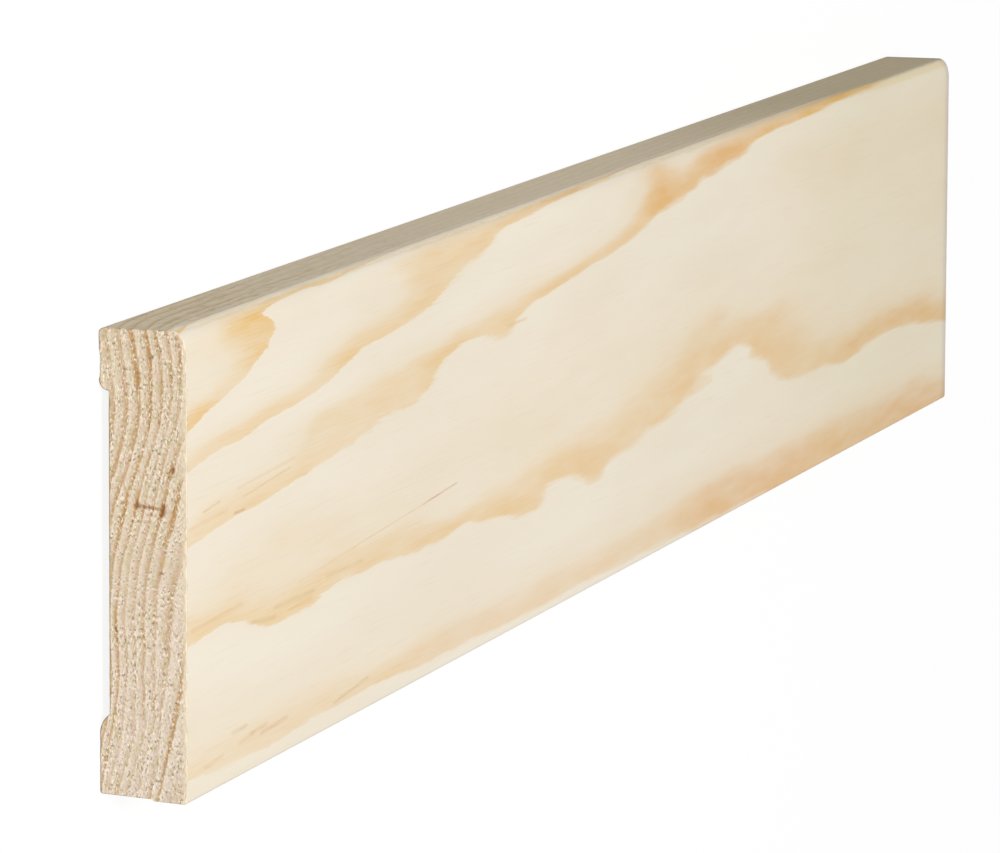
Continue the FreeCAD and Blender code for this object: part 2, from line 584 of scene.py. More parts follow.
@dataclass
class GrowthRings:
    """The age of the wood anywhere in the board.

    The show face gives it along the board, and the near end how it falls towards the wall.

    Args:
        board: The board's section.
        face: The ages on the show face, with its easing rolled out flat.
        section: The ages on the near end.
        settle: How far from the near end the show face's own ages hold, in millimetres.
    """

    board: BoardSection = field(default_factory=BoardSection)
    face: BentSheet = field(
        default_factory=lambda: BentSheet(
            FIRST_RING + SECOND_RING + THIRD_RING + FOURTH_RING + FIFTH_RING, stretch=4.0
        )
    )
    section: BentSheet = field(default_factory=lambda: BentSheet(END_RINGS, stretch=2.0, give=0.03))
    settle: float = 8.0

    def at(self, along: np.ndarray, up: np.ndarray, out: np.ndarray) -> np.ndarray:
        """The age of the wood at each place.

        Args:
            along: Distances from the near end, in millimetres.
            up: Distances from the floor edge.
            out: Distances out from the wall.

        Returns:
            The ages, in rings.
        """
        rolled = self.board.rolled(up)
        surface = self.section.at(up, self.board.front(up))
        astray = surface - self.face.at(np.zeros(len(up)), rolled)
        fading = np.exp(-((along / self.settle) ** 2))
        lift = self.face.at(along, rolled) - surface + astray * fading
        return lift + self.section.at(up, out)


@dataclass(frozen=True)
class ToneSpot:
    """A place with its own tone of late wood.

    Args:
        first: Its distance in the spots' first direction, in millimetres.
        second: Its distance in their second direction.
        richness: How deep the late wood is there, from 0 to 1.
        blush: How far it leans from straw to pink.
    """

    first: float
    second: float
    richness: float
    blush: float = 0.0


@dataclass(frozen=True)
class ToneMap:
    """Tones of late wood that pass smoothly from spot to spot.

    Args:
        spots: The spots.
        stretch: How much further a spot reaches in the first direction than in the second.
        softness: How far a spot holds its own tone, in millimetres.
    """

    spots: tuple[ToneSpot, ...]
    stretch: float
    softness: float

    def at(self, first: np.ndarray, second: np.ndarray) -> tuple[np.ndarray, np.ndarray]:
        """The tone at each place.

        Args:
            first: Distances in the spots' first direction, in millimetres.
            second: Distances in their second direction.

        Returns:
            The richness and the blush.
        """
        weight = np.zeros(len(first))
        richness = np.zeros(len(first))
        blush = np.zeros(len(first))
        for spot in self.spots:
            square = ((first - spot.first) / self.stretch) ** 2 + (second - spot.second) ** 2
            near = 1 / (square + self.softness**2) ** 2
            weight += near
            richness += near * spot.richness
            blush += near * spot.blush
        return richness / weight, blush / weight


# Along the board and up its show face.
FACE_TONES = ToneMap(
    spots=(
        ToneSpot(5, 74, 0.75),
        ToneSpot(25, 78, 0.35),
        ToneSpot(45, 84, 0.8),
        ToneSpot(34, 88, 0.95),
        ToneSpot(15, 89, 0.75),
        ToneSpot(80, 92.5, 0.5),
        ToneSpot(10, 66, 0.42),
        ToneSpot(35, 68, 0.56),
        ToneSpot(70, 71, 0.48),
        ToneSpot(100, 76, 0.62),
        ToneSpot(130, 79, 0.56),
        ToneSpot(165, 84, 0.55),
        ToneSpot(12, 52, 0.4),
        ToneSpot(50, 54, 0.5),
        ToneSpot(90, 59, 0.38),
        ToneSpot(130, 62, 0.47),
        ToneSpot(162, 68, 0.62),
        ToneSpot(200, 67, 0.52),
        ToneSpot(250, 74, 0.6, 0.2),
        ToneSpot(300, 78, 0.6, 0.25),
        ToneSpot(330, 84, 1.15, 0.6),
        ToneSpot(345, 88.5, 0.8, 0.5),
        ToneSpot(372, 87, 0.93, 0.8),
        ToneSpot(425, 91, 1.05, 0.4),
        ToneSpot(465, 91.5, 1.2, 0.1),
        ToneSpot(10, 32, 0.52),
        ToneSpot(60, 29, 0.58),
        ToneSpot(110, 31, 0.5),
        ToneSpot(160, 30, 0.55, 0.1),
        ToneSpot(215, 26.5, 0.6, 0.15),
        ToneSpot(240, 32, 0.62, 0.15),
        ToneSpot(268, 27, 0.71, 0.3),
        ToneSpot(290, 32, 0.55, 0.15),
        ToneSpot(344, 38, 0.62, 0.15),
        ToneSpot(395, 43, 0.68, 0.3),
        ToneSpot(424, 34, 0.64, 0.3),
        ToneSpot(452, 28, 0.6, 0.3),
        ToneSpot(520, 27, 0.8, 0.5),
        ToneSpot(560, 27, 0.8, 0.6),
        ToneSpot(588, 24, 0.7, 0.6),
        ToneSpot(20, 5, 0.34, 0.1),
        ToneSpot(60, 5, 0.36, 0.2),
        ToneSpot(100, 5, 0.45, 0.2),
        ToneSpot(200, 5, 0.42, 0.6),
        ToneSpot(280, 4, 0.48, 0.6),
        ToneSpot(400, 4, 0.84, 0.9),
        ToneSpot(560, 3, 0.85, 0.9),
    ),
    stretch=4.0,
    softness=2.5,
)


@dataclass(frozen=True)
class EndTones:
    """How deep the late wood is along each ring of the near end.

    Args:
        rings: For each ring, places up the board with the richness there, from 0 to 1.
    """

    rings: dict[int, Points]

    def at(self, ages: np.ndarray, up: np.ndarray) -> np.ndarray:
        """The richness at each place.

        Args:
            ages: The ages of the wood.
            up: Distances from the floor edge, in millimetres.

        Returns:
            The richness.
        """
        richness = np.zeros(len(ages))
        ring_of = np.clip(np.ceil(ages), min(self.rings), max(self.rings))
        for ring, places in self.rings.items():
            ups, depths = np.array(sorted(places)).T
            richness = np.where(ring_of == ring, np.interp(up, ups, depths), richness)
        return richness


END_TONES = EndTones({
    -6: ((90, 0.26), (87, 0.35), (83, 0.12), (80, 0.45), (75, 0.58), (71, 0.55), (69, 0.1)),
    -5: (
        (91, 0.36), (89, 0.52), (86, 0.32), (83, 0.56), (77, 0.58), (71, 0.53), (67, 0.7),
        (63, 0.75),
    ),
    -4: (
        (91, 0.88), (87, 0.78), (83, 1.1), (77, 0.63), (71, 0.84), (67, 0.45), (61, 0.68),
        (59, 0.78), (55, 0.58), (53, 0.3),
    ),
    -3: (
        (91, 0.85), (87, 1.0), (84, 0.72), (80, 0.88), (75, 0.86), (70, 0.5), (65, 0.78),
        (62, 0.63), (59, 0.97), (53, 0.85), (48, 0.7), (43, 0.65), (40, 0.45), (28, 0.4),
        (22, 0.5), (19, 0.3), (14, 0.6),
    ),
    -2: (
        (91, 0.6), (85, 0.5), (81, 0.7), (75, 0.64), (72, 0.37), (67, 0.68), (62, 0.3),
        (59, 1.0), (57, 0.97), (54, 0.63), (45, 0.6), (39, 0.7), (33, 0.95), (27, 0.85),
        (21, 0.65), (16, 0.8), (12, 0.5), (8, 0.75), (5, 0.75),
    ),
    -1: (
        (91, 0.45), (87, 0.48), (83, 0.78), (79, 0.35), (75, 0.32), (70, 0.17), (67, 0.33),
        (62, 0.08), (59, 0.4), (57, 0.77), (54, 0.4), (50, 0.3), (43, 0.22), (37, 0.32),
        (30, 0.36), (24, 0.2), (17, 0.35), (8, 0.15),
    ),
    0: (
        (91, 0.8), (89, 0.7), (86, 0.9), (83, 0.6), (79, 0.3), (76, 0.35), (73, 0.63),
        (69, 0.27), (65, 0.5), (61, 0.24), (57, 0.77), (53, 0.4), (47, 0.42), (41, 0.32),
        (35, 0.22), (30, 0.34), (23, 0.34), (19, 0.15), (16, 0.3), (9, 0.15), (3, 0.48),
    ),
    1: (
        (73, 0.45), (67, 0.53), (65, 0.95), (62, 0.56), (59, 0.84), (56, 0.95), (53, 0.68),
        (49, 0.6), (45, 0.6), (41, 0.45), (35, 0.62), (30, 0.6), (25, 0.35), (21, 0.6),
        (17, 0.3), (10, 0.12), (3, 0.25),
    ),
    2: (
        (64, 0.1), (63, 0.4), (61, 0.73), (57, 0.95), (53, 0.8), (50, 0.6), (45, 0.6),
        (42, 0.4), (36, 0.42), (33, 0.25), (29, 0.35), (24, 0.3), (18, 0.35), (14, 0.15),
        (10, 0.25), (3, 0.2),
    ),
    3: (
        (47, 0.3), (44, 0.5), (41, 0.45), (37, 0.55), (31, 0.5), (27, 0.3), (20, 0.32),
        (17, 0.35), (13, 0.15), (7, 0.2), (3, 0.3),
    ),
    4: ((31, 0.4), (28, 0.72), (22, 0.82), (15, 0.8), (13, 0.88), (9, 0.8), (3, 0.65)),
    5: ((5, 0.1), (2, 0.2)),
})


class StreakTone(Enum):
    """The tones of the small streaks on the show face."""

    STRAW = linear(222, 178, 112)
    RUSTY = linear(206, 156, 112)
    OLIVE = linear(206, 176, 118)


@dataclass(frozen=True)
class Streak:
    """A short dark streak along the grain of the show face.

    Args:
        start: Place of one end of it, from the near end and from the floor edge, in millimetres.
        stop: Place of its other end.
        reach: Half its width, in millimetres.
        depth: How deep its tone is, from 0 to 1.
        tone: Its tone.
    """

    start: Pair
    stop: Pair
    reach: float
    depth: float
    tone: StreakTone = StreakTone.STRAW


STREAKS = (
    Streak((65, 33.3), (100, 35.2), 0.3, 0.35),
    Streak((100, 35.2), (146, 37.4), 0.3, 0.5),
    Streak((146, 37.4), (168, 38.6), 0.35, 0.9, StreakTone.RUSTY),
    Streak((10, 55.8), (18, 56.5), 0.5, 0.6),
    Streak((33, 55.5), (60, 57.3), 0.5, 0.5),
    Streak((28, 52.9), (32, 52.9), 0.6, 0.7, StreakTone.RUSTY),
    Streak((27, 9.6), (33, 9.6), 0.9, 0.5, StreakTone.OLIVE),
    Streak((31, 6.9), (37, 7.4), 0.9, 0.4),
    Streak((38, 7.5), (45, 7.9), 0.9, 0.4, StreakTone.RUSTY),
    Streak((44, 6.6), (57, 7.1), 0.9, 0.45, StreakTone.RUSTY),
    Streak((11, 5.6), (19, 6.1), 0.9, 0.4),
    Streak((4, 33.6), (30, 34.4), 0.9, 0.4),
    Streak((38, 29.6), (50, 28.6), 0.9, 0.45, StreakTone.OLIVE),
    Streak((52, 30.5), (74, 30.2), 0.9, 0.45, StreakTone.OLIVE),
    Streak((60, 28.6), (72, 28.9), 0.7, 0.4),
    Streak((84, 31.8), (104, 31.6), 0.9, 0.35, StreakTone.OLIVE),
    Streak((2, 53.4), (22, 54.2), 0.8, 0.35),
    Streak((30, 57.6), (62, 58.9), 0.7, 0.3),
    Streak((88, 5), (108, 6.5), 0.7, 0.5, StreakTone.OLIVE),
    Streak((205, 68), (217, 68), 0.6, 0.5),
)


@dataclass(frozen=True)
class ResinSpot:
    """A pocket or streak of dark resin on the near end.

    Args:
        start: Place of one end of it, as up the board and out from the wall, in millimetres.
        stop: Place of its other end.
        reach: Half its width, in millimetres.
        darkness: How dark it is, from 0 to 1.
    """

    start: Pair
    stop: Pair
    reach: float
    darkness: float


RESIN_SPOTS = (
    ResinSpot((58.0, 7.4), (57.3, 13.4), 0.42, 0.72),
    ResinSpot((58.4, 7.9), (57.6, 8.1), 0.5, 0.95),
    ResinSpot((57.8, 9.3), (57.6, 9.7), 0.4, 0.8),
    ResinSpot((58.0, 13.3), (56.3, 13.0), 0.6, 1.0),
    ResinSpot((65.3, 15.3), (64.6, 15.1), 0.5, 0.9),
    ResinSpot((63.8, 14.4), (63.9, 14.9), 0.35, 0.7),
    ResinSpot((87.0, 10.6), (86.6, 10.8), 0.45, 0.85),
    ResinSpot((84.0, 8.2), (82.4, 8.4), 0.4, 0.6),
    ResinSpot((88.8, 12.6), (88.0, 12.7), 0.35, 0.55),
    ResinSpot((33.9, 3.5), (33.2, 3.6), 0.4, 0.75),
    ResinSpot((44.9, 12.4), (45.0, 13.0), 0.4, 0.7),
    ResinSpot((32.3, 7.9), (32.2, 8.2), 0.3, 0.6),
    ResinSpot((38.7, 6.1), (38.5, 6.4), 0.35, 0.45),
    ResinSpot((17.2, 8.5), (17.2, 8.9), 0.4, 0.55),
    ResinSpot((2.7, 10.2), (2.7, 10.6), 0.35, 0.55),
    ResinSpot((74.0, 12.2), (74.0, 12.5), 0.4, 0.6),
    ResinSpot((19.0, 10.9), (18.6, 11.2), 0.4, 0.5),
    ResinSpot((23.6, 14.9), (23.2, 15.2), 0.35, 0.5),
    ResinSpot((10.2, 15.8), (10.0, 16.4), 0.35, 0.5),
    ResinSpot((11.4, 1.1), (11.0, 1.3), 0.3, 0.5),
    ResinSpot((6.0, 13.0), (5.6, 13.0), 0.3, 0.55),
)


@dataclass(frozen=True)
class Grain:
    """Flecks drawn out along the wood.

    Args:
        size: Their size along, up and through the board, in millimetres.
        layers: How many finer layers they have.
    """

    size: Place
    layers: float = 2.0


@dataclass
class NodeBench:
    """Lays out and joins a material's nodes.

    Args:
        tree: The material's node tree.
    """

    tree: bpy.types.NodeTree

    def add(self, kind: str, **settings: object) -> bpy.types.Node:
        """A new node.

        Args:
            kind: The node's type.
            settings: Its properties.

        Returns:
            The node.
        """
        node = self.tree.nodes.new(kind)
        for name, value in settings.items():
            setattr(node, name, value)
        return node

    def feed(self, socket: bpy.types.NodeSocket, source: Source) -> None:
        """Joins a socket to another, or sets its value.

        Args:
            socket: The socket that takes the value.
            source: A socket, a number, or a colour.
        """
        if isinstance(source, bpy.types.NodeSocket):
            self.tree.links.new(source, socket)
        elif isinstance(source, tuple):
            socket.default_value = (*source, 1)
        else:
            socket.default_value = source

    def reckon(self, operation: str, first: Source, second: Source = 0.0) -> bpy.types.NodeSocket:
        """One step of arithmetic.

        Args:
            operation: The Math node's operation.
            first: A number or its socket.
            second: A number or its socket.

        Returns:
            The result's socket.
        """
        node = self.add("ShaderNodeMath", operation=operation)
        self.feed(node.inputs[0], first)
        self.feed(node.inputs[1], second)
        return node.outputs[0]

    def plus(self, first: Source, second: Source) -> bpy.types.NodeSocket:
        """Two numbers added."""
        return self.reckon("ADD", first, second)

    def less(self, first: Source, second: Source) -> bpy.types.NodeSocket:
        """One number less another."""
        return self.reckon("SUBTRACT", first, second)

    def times(self, first: Source, second: Source) -> bpy.types.NodeSocket:
        """Two numbers multiplied."""
        return self.reckon("MULTIPLY", first, second)

    def held(self, value: Source) -> bpy.types.NodeSocket:
        """A value held between 0 and 1."""
        return self.reckon("MINIMUM", self.reckon("MAXIMUM", value, 0.0), 1.0)

    def spread(self, value: Source, amount: Source) -> bpy.types.NodeSocket:
        """Noise about one half, as an amount about nought."""
        return self.times(self.less(value, 0.5), amount)

    def carried(self, attribute: Attribute) -> bpy.types.NodeSocket:
        """A value that the surface's points carry."""
        return self.add("ShaderNodeAttribute", attribute_name=attribute.value).outputs["Fac"]

    def on_face(self) -> tuple[bpy.types.NodeSocket, bpy.types.NodeSocket]:
        """The place on the show face.

        Returns:
            Sockets with the distances along the board and up it, in metres from its middle.
        """
        place = self.add("ShaderNodeTexCoord").outputs["Object"]
        apart = self.add("ShaderNodeSeparateXYZ")
        self.feed(apart.inputs[0], place)
        return apart.outputs["X"], apart.outputs["Y"]

    def streak(
        self, start: Pair, stop: Pair, reach: float, ends: float, soft: Points
    ) -> bpy.types.NodeSocket:
        """How near each place on the show face lies to a straight streak.

        Args:
            start: Where the streak starts, along the board and up it, in metres from its middle.
            stop: Where it stops.
            reach: How far to its side it fades out.
            ends: How many times as far it fades out past its ends.
            soft: How deep it is from its side, 0, to its middle, 1.

        Returns:
            A socket with 1 on the streak and 0 clear of it.
        """
        along, up = self.on_face()
        run, rise = stop[0] - start[0], stop[1] - start[1]
        share = self.held(self.reckon("DIVIDE", self.less(along, start[0]), run))
        past = self.less(along, self.plus(self.times(share, run), start[0]))
        aside = self.less(up, self.plus(self.times(share, rise), start[1]))
        past = self.times(past, 1 / ends)
        square = self.plus(self.times(past, past), self.times(aside, aside))
        gap = self.reckon("DIVIDE", self.reckon("SQRT", square), reach)
        return self.ramp(self.less(1.0, gap), soft)

    def grain(self, grain: Grain) -> bpy.types.NodeSocket:
        """Noise with the flecks of a grain.

        Args:
            grain: The grain.

        Returns:
            A socket with values about one half.
        """
        place = self.add("ShaderNodeTexCoord").outputs["Object"]
        stretched = self.add("ShaderNodeMapping")
        self.feed(stretched.inputs["Vector"], place)
        stretched.inputs["Scale"].default_value = [1 / (extent * MM) for extent in grain.size]
        cloud = self.add("ShaderNodeTexNoise")
        self.feed(cloud.inputs["Vector"], stretched.outputs[0])
        self.feed(cloud.inputs["Scale"], 1.0)
        self.feed(cloud.inputs["Detail"], grain.layers)
        return cloud.outputs["Fac"]

    def tints(self, value: Source, stops: Tints) -> bpy.types.NodeSocket:
        """Reads a colour off a strip on which colours pass into each other.

        Args:
            value: The value to look up, from 0 to 1.
            stops: Places on the strip and their colours.

        Returns:
            The colour's socket.
        """
        node = self.add("ShaderNodeValToRGB")
        marks = node.color_ramp.elements
        while len(marks) < len(stops):
            marks.new(0.5)
        for mark, (place, colour) in zip(marks, stops):
            mark.position = place
            mark.color = (*colour, 1)
        self.feed(node.inputs[0], value)
        return node.outputs["Color"]

    def ramp(self, value: Source, stops: Points) -> bpy.types.NodeSocket:
        """Reads a number off a curve of straight stretches, from its places and their heights."""
        return self.tints(value, tuple((place, (height,) * 3) for place, height in stops))

    def between(self, share: Source, first: Source, second: Source) -> bpy.types.NodeSocket:
        """A number part of the way from one to another.

        Args:
            share: How far along the way.
            first: A number or its socket.
            second: A number or its socket.

        Returns:
            The number's socket.
        """
        node = self.add("ShaderNodeMix", data_type="FLOAT")
        for socket, source in zip((node.inputs[0], *node.inputs[2:4]), (share, first, second)):
            self.feed(socket, source)
        return node.outputs[0]

    def blend(
        self, share: Source, first: Source, second: Source, mode: str = "MIX"
    ) -> bpy.types.NodeSocket:
        """Mixes two colours.

        Args:
            share: How much of the second there is.
            first: A colour or its socket.
            second: A colour or its socket.
            mode: How they blend.

        Returns:
            The mixed colour's socket.
        """
        node = self.add("ShaderNodeMix", data_type="RGBA", blend_type=mode)
        for socket, source in zip((node.inputs[0], *node.inputs[6:8]), (share, first, second)):
            self.feed(socket, source)
        return node.outputs[2]

    def tinted(self, share: Source, wood: Source, tint: Source) -> bpy.types.NodeSocket:
        """A colour multiplied by a tint, for a share of it."""
        return self.blend(share, wood, tint, "MULTIPLY")

    def relief(self, height: Source, depth: float, strength: float) -> bpy.types.NodeSocket:
        """The surface's slopes under fine relief.

        Args:
            height: The relief's height.
            depth: How deep a height of 1 stands, in metres.
            strength: How much of it shows.

        Returns:
            The slopes' socket.
        """
        node = self.add("ShaderNodeBump")
        self.feed(node.inputs["Strength"], strength)
        self.feed(node.inputs["Distance"], depth)
        self.feed(node.inputs["Height"], height)
        return node.outputs[0]


def bare_finish(name: str) -> tuple[bpy.types.Material, NodeBench, bpy.types.Node]:
    """A new finish with nothing on it yet.

    Args:
        name: Its name.

    Returns:
        The material, a bench for its nodes, and its shader.
    """
    finish = bpy.data.materials.new(name)
    finish.use_nodes = True
    return finish, NodeBench(finish.node_tree), finish.node_tree.nodes["Principled BSDF"]


@dataclass(frozen=True)
class PlanedPine:
    """Planed pine, with the growth rings as flame-like bands. The show face is sanded too.

    A curve gives the height at each of its places, in straight stretches.

    Args:
        early: The pale wood laid down in spring.
        warm: The same where it leans towards straw.
        late: The dense wood that ends each ring.
        late_blush: The same where it leans towards pink.
        late_rough: The same where it is only machined.
        fibre: The tone of single dark fibres.
        along_tones_and_far_end_shade: How the wood's tone shifts, by the share of the board's length.
            Its last stops are painted shade, greying the last few millimetres by the far end, where
            the rounded arris turns from the light.
        rough_tint: How much darker and browner the wood is where it is only machined.
        rough_far: The same again towards the far end, greyer and darker.
        rough_streak: The tone of its torn streaks.
        eased: How much more olive the wood is along the top of its easing.
        painted_arris_light: Painted light: how much paler the wood is made where the sanding runs out
            over the arris, as the arris turns towards the top edge.
        painted_arris_light_far: The same painted light towards the far end, where it turns to a
            darker, yellower tint.
        streaks: Short dark streaks on the show face.
        half_length: Half the board's length, in metres.
        half_height: How far the floor edge lies below the board's middle, in metres.
        roughness: How matt the wood is.
        rough_more: How much more matt it is where it is only machined.
        gloss: How strongly it mirrors.
        fibre_depth: How deep the fibres stand, in metres.
        torn_height: How much higher the torn fibres of machined wood stand.
        relief_shown: How much of that relief shows.
        feather: How far the bands' edges wander in long tongues, as a share of a ring.
        fray: How far they fray along single fibres.
        fray_far: The same towards the far end.
        ragged: How far the edge of the sanding wanders, as a share of its fade.
        feathers: The grain of the long tongues.
        frays: The grain of the frayed edges.
        fibres: The grain of single fibres.
        clouds: The grain of the warm clouds in the pale wood.
        patches: The grain of richer and poorer patches in the bands.
        scuffs: The grain of the machined wood.
        ring_shape: How deep the late wood is through one ring.
        smooth_shape: The same towards the far end, where the bands are more washed out.
        smoothing: How washed out the bands are along the board.
        darkening: How far along the board the far end's darker tones take over.
        calming: How strong the torn streaks are along the board.
        patch_depth: How deep the bands are by patch.
        fibre_shades: How deep they are by fibre.
        cloud_warmth: How warm the pale wood is by cloud.
        dark_fibres: How dark single fibres are.
        streak_ends: How many times as far a streak fades past its ends as to its side.
        streak_side: How deep a streak is from its side to its middle.
        streak_breaks: How deep a streak is where fibres cross it.
        scuff_depth: How deep the torn streaks are by scuff.
        run_out: How strongly that painted light lies on the sanding's last stretch, up to the
            machined wood.
        run_out_from: How far before the machined wood that stretch starts.
        crest: How much the stretch before it turns olive.
        crest_from: How far before the machined wood that one starts.
    """

    early: Colour = linear(243, 233, 214)
    warm: Colour = linear(240, 229, 208)
    late: Colour = linear(232, 188, 108)
    late_blush: Colour = linear(228, 182, 126)
    late_rough: Colour = linear(216, 188, 136)
    fibre: Colour = linear(208, 178, 136)
    along_tones_and_far_end_shade: Tints = (
        (0.0, (1.0, 1.0, 1.0)), (0.25, (1.0, 1.0, 1.0)), (0.38, (1.03, 1.03, 1.03)),
        (0.58, (1.03, 1.03, 1.02)), (0.73, (1.03, 1.02, 0.99)), (0.82, (1.0, 0.995, 0.937)),
        # From 0.9885 on, the stops are painted shade along the far end's rounded arris.
        (0.98, (1.0, 0.992, 0.93)), (0.9885, (0.98, 0.975, 0.925)), (0.993, (0.85, 0.84, 0.85)),
        (0.998, (0.7, 0.7, 0.72)),
    )
    rough_tint: Colour = linear(246, 241, 231)
    rough_far: Colour = linear(230, 230, 226)
    rough_streak: Colour = linear(176, 154, 116)
    eased: Colour = (0.97, 0.935, 0.85)
    painted_arris_light: Colour = (1.18, 1.18, 1.14)
    painted_arris_light_far: Colour = (0.98, 0.92, 0.76)
    streaks: tuple[Streak, ...] = STREAKS
    half_length: float = 0.3
    half_height: float = 0.04602
    roughness: float = 0.55
    rough_more: float = 0.2
    gloss: float = 0.25
    fibre_depth: float = 0.000012
    torn_height: float = 5.0
    relief_shown: float = 0.6
    feather: float = 0.09
    fray: float = 0.08
    fray_far: float = 0.02
    ragged: float = 0.55
    feathers: Grain = Grain((16, 1.6, 1.6), 3)
    frays: Grain = Grain((6, 0.4, 0.4))
    fibres: Grain = Grain((18, 0.32, 0.32), 3)
    clouds: Grain = Grain((90, 14, 14))
    patches: Grain = Grain((22, 4, 4), 3)
    scuffs: Grain = Grain((5, 0.7, 0.7), 3)
    ring_shape: Points = (
        (0.0, 0.0), (0.3, 0.0), (0.45, 0.1), (0.59, 0.22), (0.65, 0.4), (0.72, 0.68), (0.82, 0.88),
        (0.91, 1.0), (0.975, 0.97), (0.998, 0.0),
    )
    smooth_shape: Points = (
        (0.0, 0.5), (0.03, 0.0), (0.3, 0.0), (0.45, 0.1), (0.59, 0.22), (0.65, 0.4), (0.72, 0.68),
        (0.82, 0.9), (0.9, 1.0), (0.97, 0.95), (1.0, 0.5),
    )
    smoothing: Points = ((0.15, 0.0), (0.5, 1.0))
    darkening: Points = ((0.55, 0.0), (0.78, 1.0))
    calming: Points = ((0.08, 1.0), (0.3, 0.3))
    patch_depth: Points = ((0.3, 0.75), (0.7, 1.15))
    fibre_shades: Points = ((0.36, 0.87), (0.64, 1.13))
    cloud_warmth: Points = ((0.35, 0.0), (0.65, 1.0))
    dark_fibres: Points = ((0.58, 0.0), (0.76, 0.14))
    streak_ends: float = 4.0
    streak_side: Points = ((0.0, 0.0), (0.3, 0.1), (0.7, 0.85), (1.0, 1.0))
    streak_breaks: Points = ((0.3, 0.4), (0.7, 1.0))
    scuff_depth: Points = ((0.46, 0.0), (0.7, 0.45))
    run_out: Points = ((0.0, 0.0), (0.28, 1.0), (0.75, 1.0), (0.95, 0.0))
    run_out_from: float = 0.8
    crest: Points = ((0.2, 0.0), (0.34, 1.0), (0.48, 1.0), (0.64, 0.0))
    crest_from: float = 1.2

    def material(self) -> bpy.types.Material:
        """The finish as a material.

        Returns:
            The material.
        """
        finish, bench, shader = bare_finish("planed_pine")
        along, _ = bench.on_face()
        along = bench.plus(bench.reckon("DIVIDE", along, 2 * self.half_length), 0.5)
        fray = bench.grain(self.frays)
        fibres = bench.grain(self.fibres)
        scuffs = bench.grain(self.scuffs)
        ragged = bench.plus(bench.carried(Attribute.ROUGH), bench.spread(scuffs, self.ragged))
        rough = bench.held(ragged)

        wood = bench.blend(
            self.late_share(bench, along, fray, fibres), self.pale(bench), self.deep(bench, rough)
        )
        wood = bench.blend(bench.ramp(fibres, self.dark_fibres), wood, self.fibre)
        wood = self.streaked(bench, wood, fray)
        # Tones along the board, with painted shade over the last few millimetres by the far end.
        wood = bench.tinted(1.0, wood, bench.tints(along, self.along_tones_and_far_end_shade))
        wood = self.sanded_over(bench, wood, along, ragged)
        wood = self.machined(bench, wood, along, rough, scuffs)
        bench.feed(shader.inputs["Base Color"], wood)
        matt = bench.plus(self.roughness, bench.times(rough, self.rough_more))
        bench.feed(shader.inputs["Roughness"], matt)
        bench.feed(shader.inputs["Specular IOR Level"], self.gloss)
        raised = bench.times(bench.times(scuffs, rough), self.torn_height)
        height = bench.plus(bench.plus(fibres, fray), raised)
        slopes = bench.relief(height, self.fibre_depth, self.relief_shown)
        bench.feed(shader.inputs["Normal"], slopes)
        return finish

    def late_share(
        self, bench: NodeBench, along: Source, fray: Source, fibres: Source
    ) -> bpy.types.NodeSocket:
        """How deep the late wood is.

        Args:
            bench: The material's nodes.
            along: The share of the board's length.
            fray: The noise of the frayed edges.
            fibres: The noise of single fibres.

        Returns:
            The depth's socket.
        """
        smooth = bench.ramp(along, self.smoothing)
        tongues = bench.spread(bench.grain(self.feathers), self.feather)
        age = bench.plus(bench.carried(Attribute.RING), tongues)
        age = bench.plus(age, bench.spread(fray, bench.between(smooth, self.fray, self.fray_far)))
        turn = bench.reckon("FRACT", age)
        late = bench.between(
            smooth, bench.ramp(turn, self.ring_shape), bench.ramp(turn, self.smooth_shape)
        )
        late = bench.times(late, bench.carried(Attribute.RICHNESS))
        late = bench.times(late, bench.ramp(bench.grain(self.patches), self.patch_depth))
        streaky = bench.between(smooth, bench.ramp(fibres, self.fibre_shades), 1.0)
        return bench.times(late, streaky)

    def pale(self, bench: NodeBench) -> bpy.types.NodeSocket:
        """The colour of the early wood, with its warm clouds."""
        warm = bench.ramp(bench.grain(self.clouds), self.cloud_warmth)
        return bench.blend(warm, self.early, self.warm)

    def deep(self, bench: NodeBench, rough: Source) -> bpy.types.NodeSocket:
        """The colour of the late wood, by its blush and by how roughly it is machined."""
        deep = bench.blend(bench.carried(Attribute.BLUSH), self.late, self.late_blush)
        return bench.blend(rough, deep, self.late_rough)

    def streaked(self, bench: NodeBench, wood: Source, fray: Source) -> bpy.types.NodeSocket:
        """The wood with the streaks of the show face.

        Args:
            bench: The material's nodes.
            wood: The colour so far.
            fray: The noise of the frayed edges.

        Returns:
            The colour's socket.
        """
        breaks = bench.ramp(fray, self.streak_breaks)
        for streak in self.streaks:
            start, stop = self.centred(streak.start), self.centred(streak.stop)
            reach = streak.reach * MM
            mark = bench.streak(start, stop, reach, self.streak_ends, self.streak_side)
            depth = bench.times(bench.times(mark, breaks), streak.depth)
            wood = bench.blend(depth, wood, streak.tone.value)
        return wood

    def centred(self, place: Pair) -> Pair:
        """A place in millimetres from the near end and the floor edge, in metres from the middle."""
        return place[0] * MM - self.half_length, place[1] * MM - self.half_height

    def sanded_over(
        self, bench: NodeBench, wood: Source, along: Source, ragged: Source
    ) -> bpy.types.NodeSocket:
        """The wood with the two stretches of the easing where the sanding runs out: painted light on
        the last one, and an olive tint on the one before.

        Args:
            bench: The material's nodes.
            wood: The colour so far.
            along: The share of the board's length.
            ragged: How far past the sanding each place lies, as a share of its fade.

        Returns:
            The colour's socket.
        """
        far = bench.ramp(along, self.darkening)
        # Painted light: pales the arris where it turns towards the top edge, in place of light from
        # that side.
        run_out = bench.ramp(bench.plus(ragged, self.run_out_from), self.run_out)
        wood = bench.tinted(run_out, wood, bench.blend(far, self.painted_arris_light, self.painted_arris_light_far))
        crest = bench.ramp(bench.plus(ragged, self.crest_from), self.crest)
        return bench.tinted(crest, wood, self.eased)

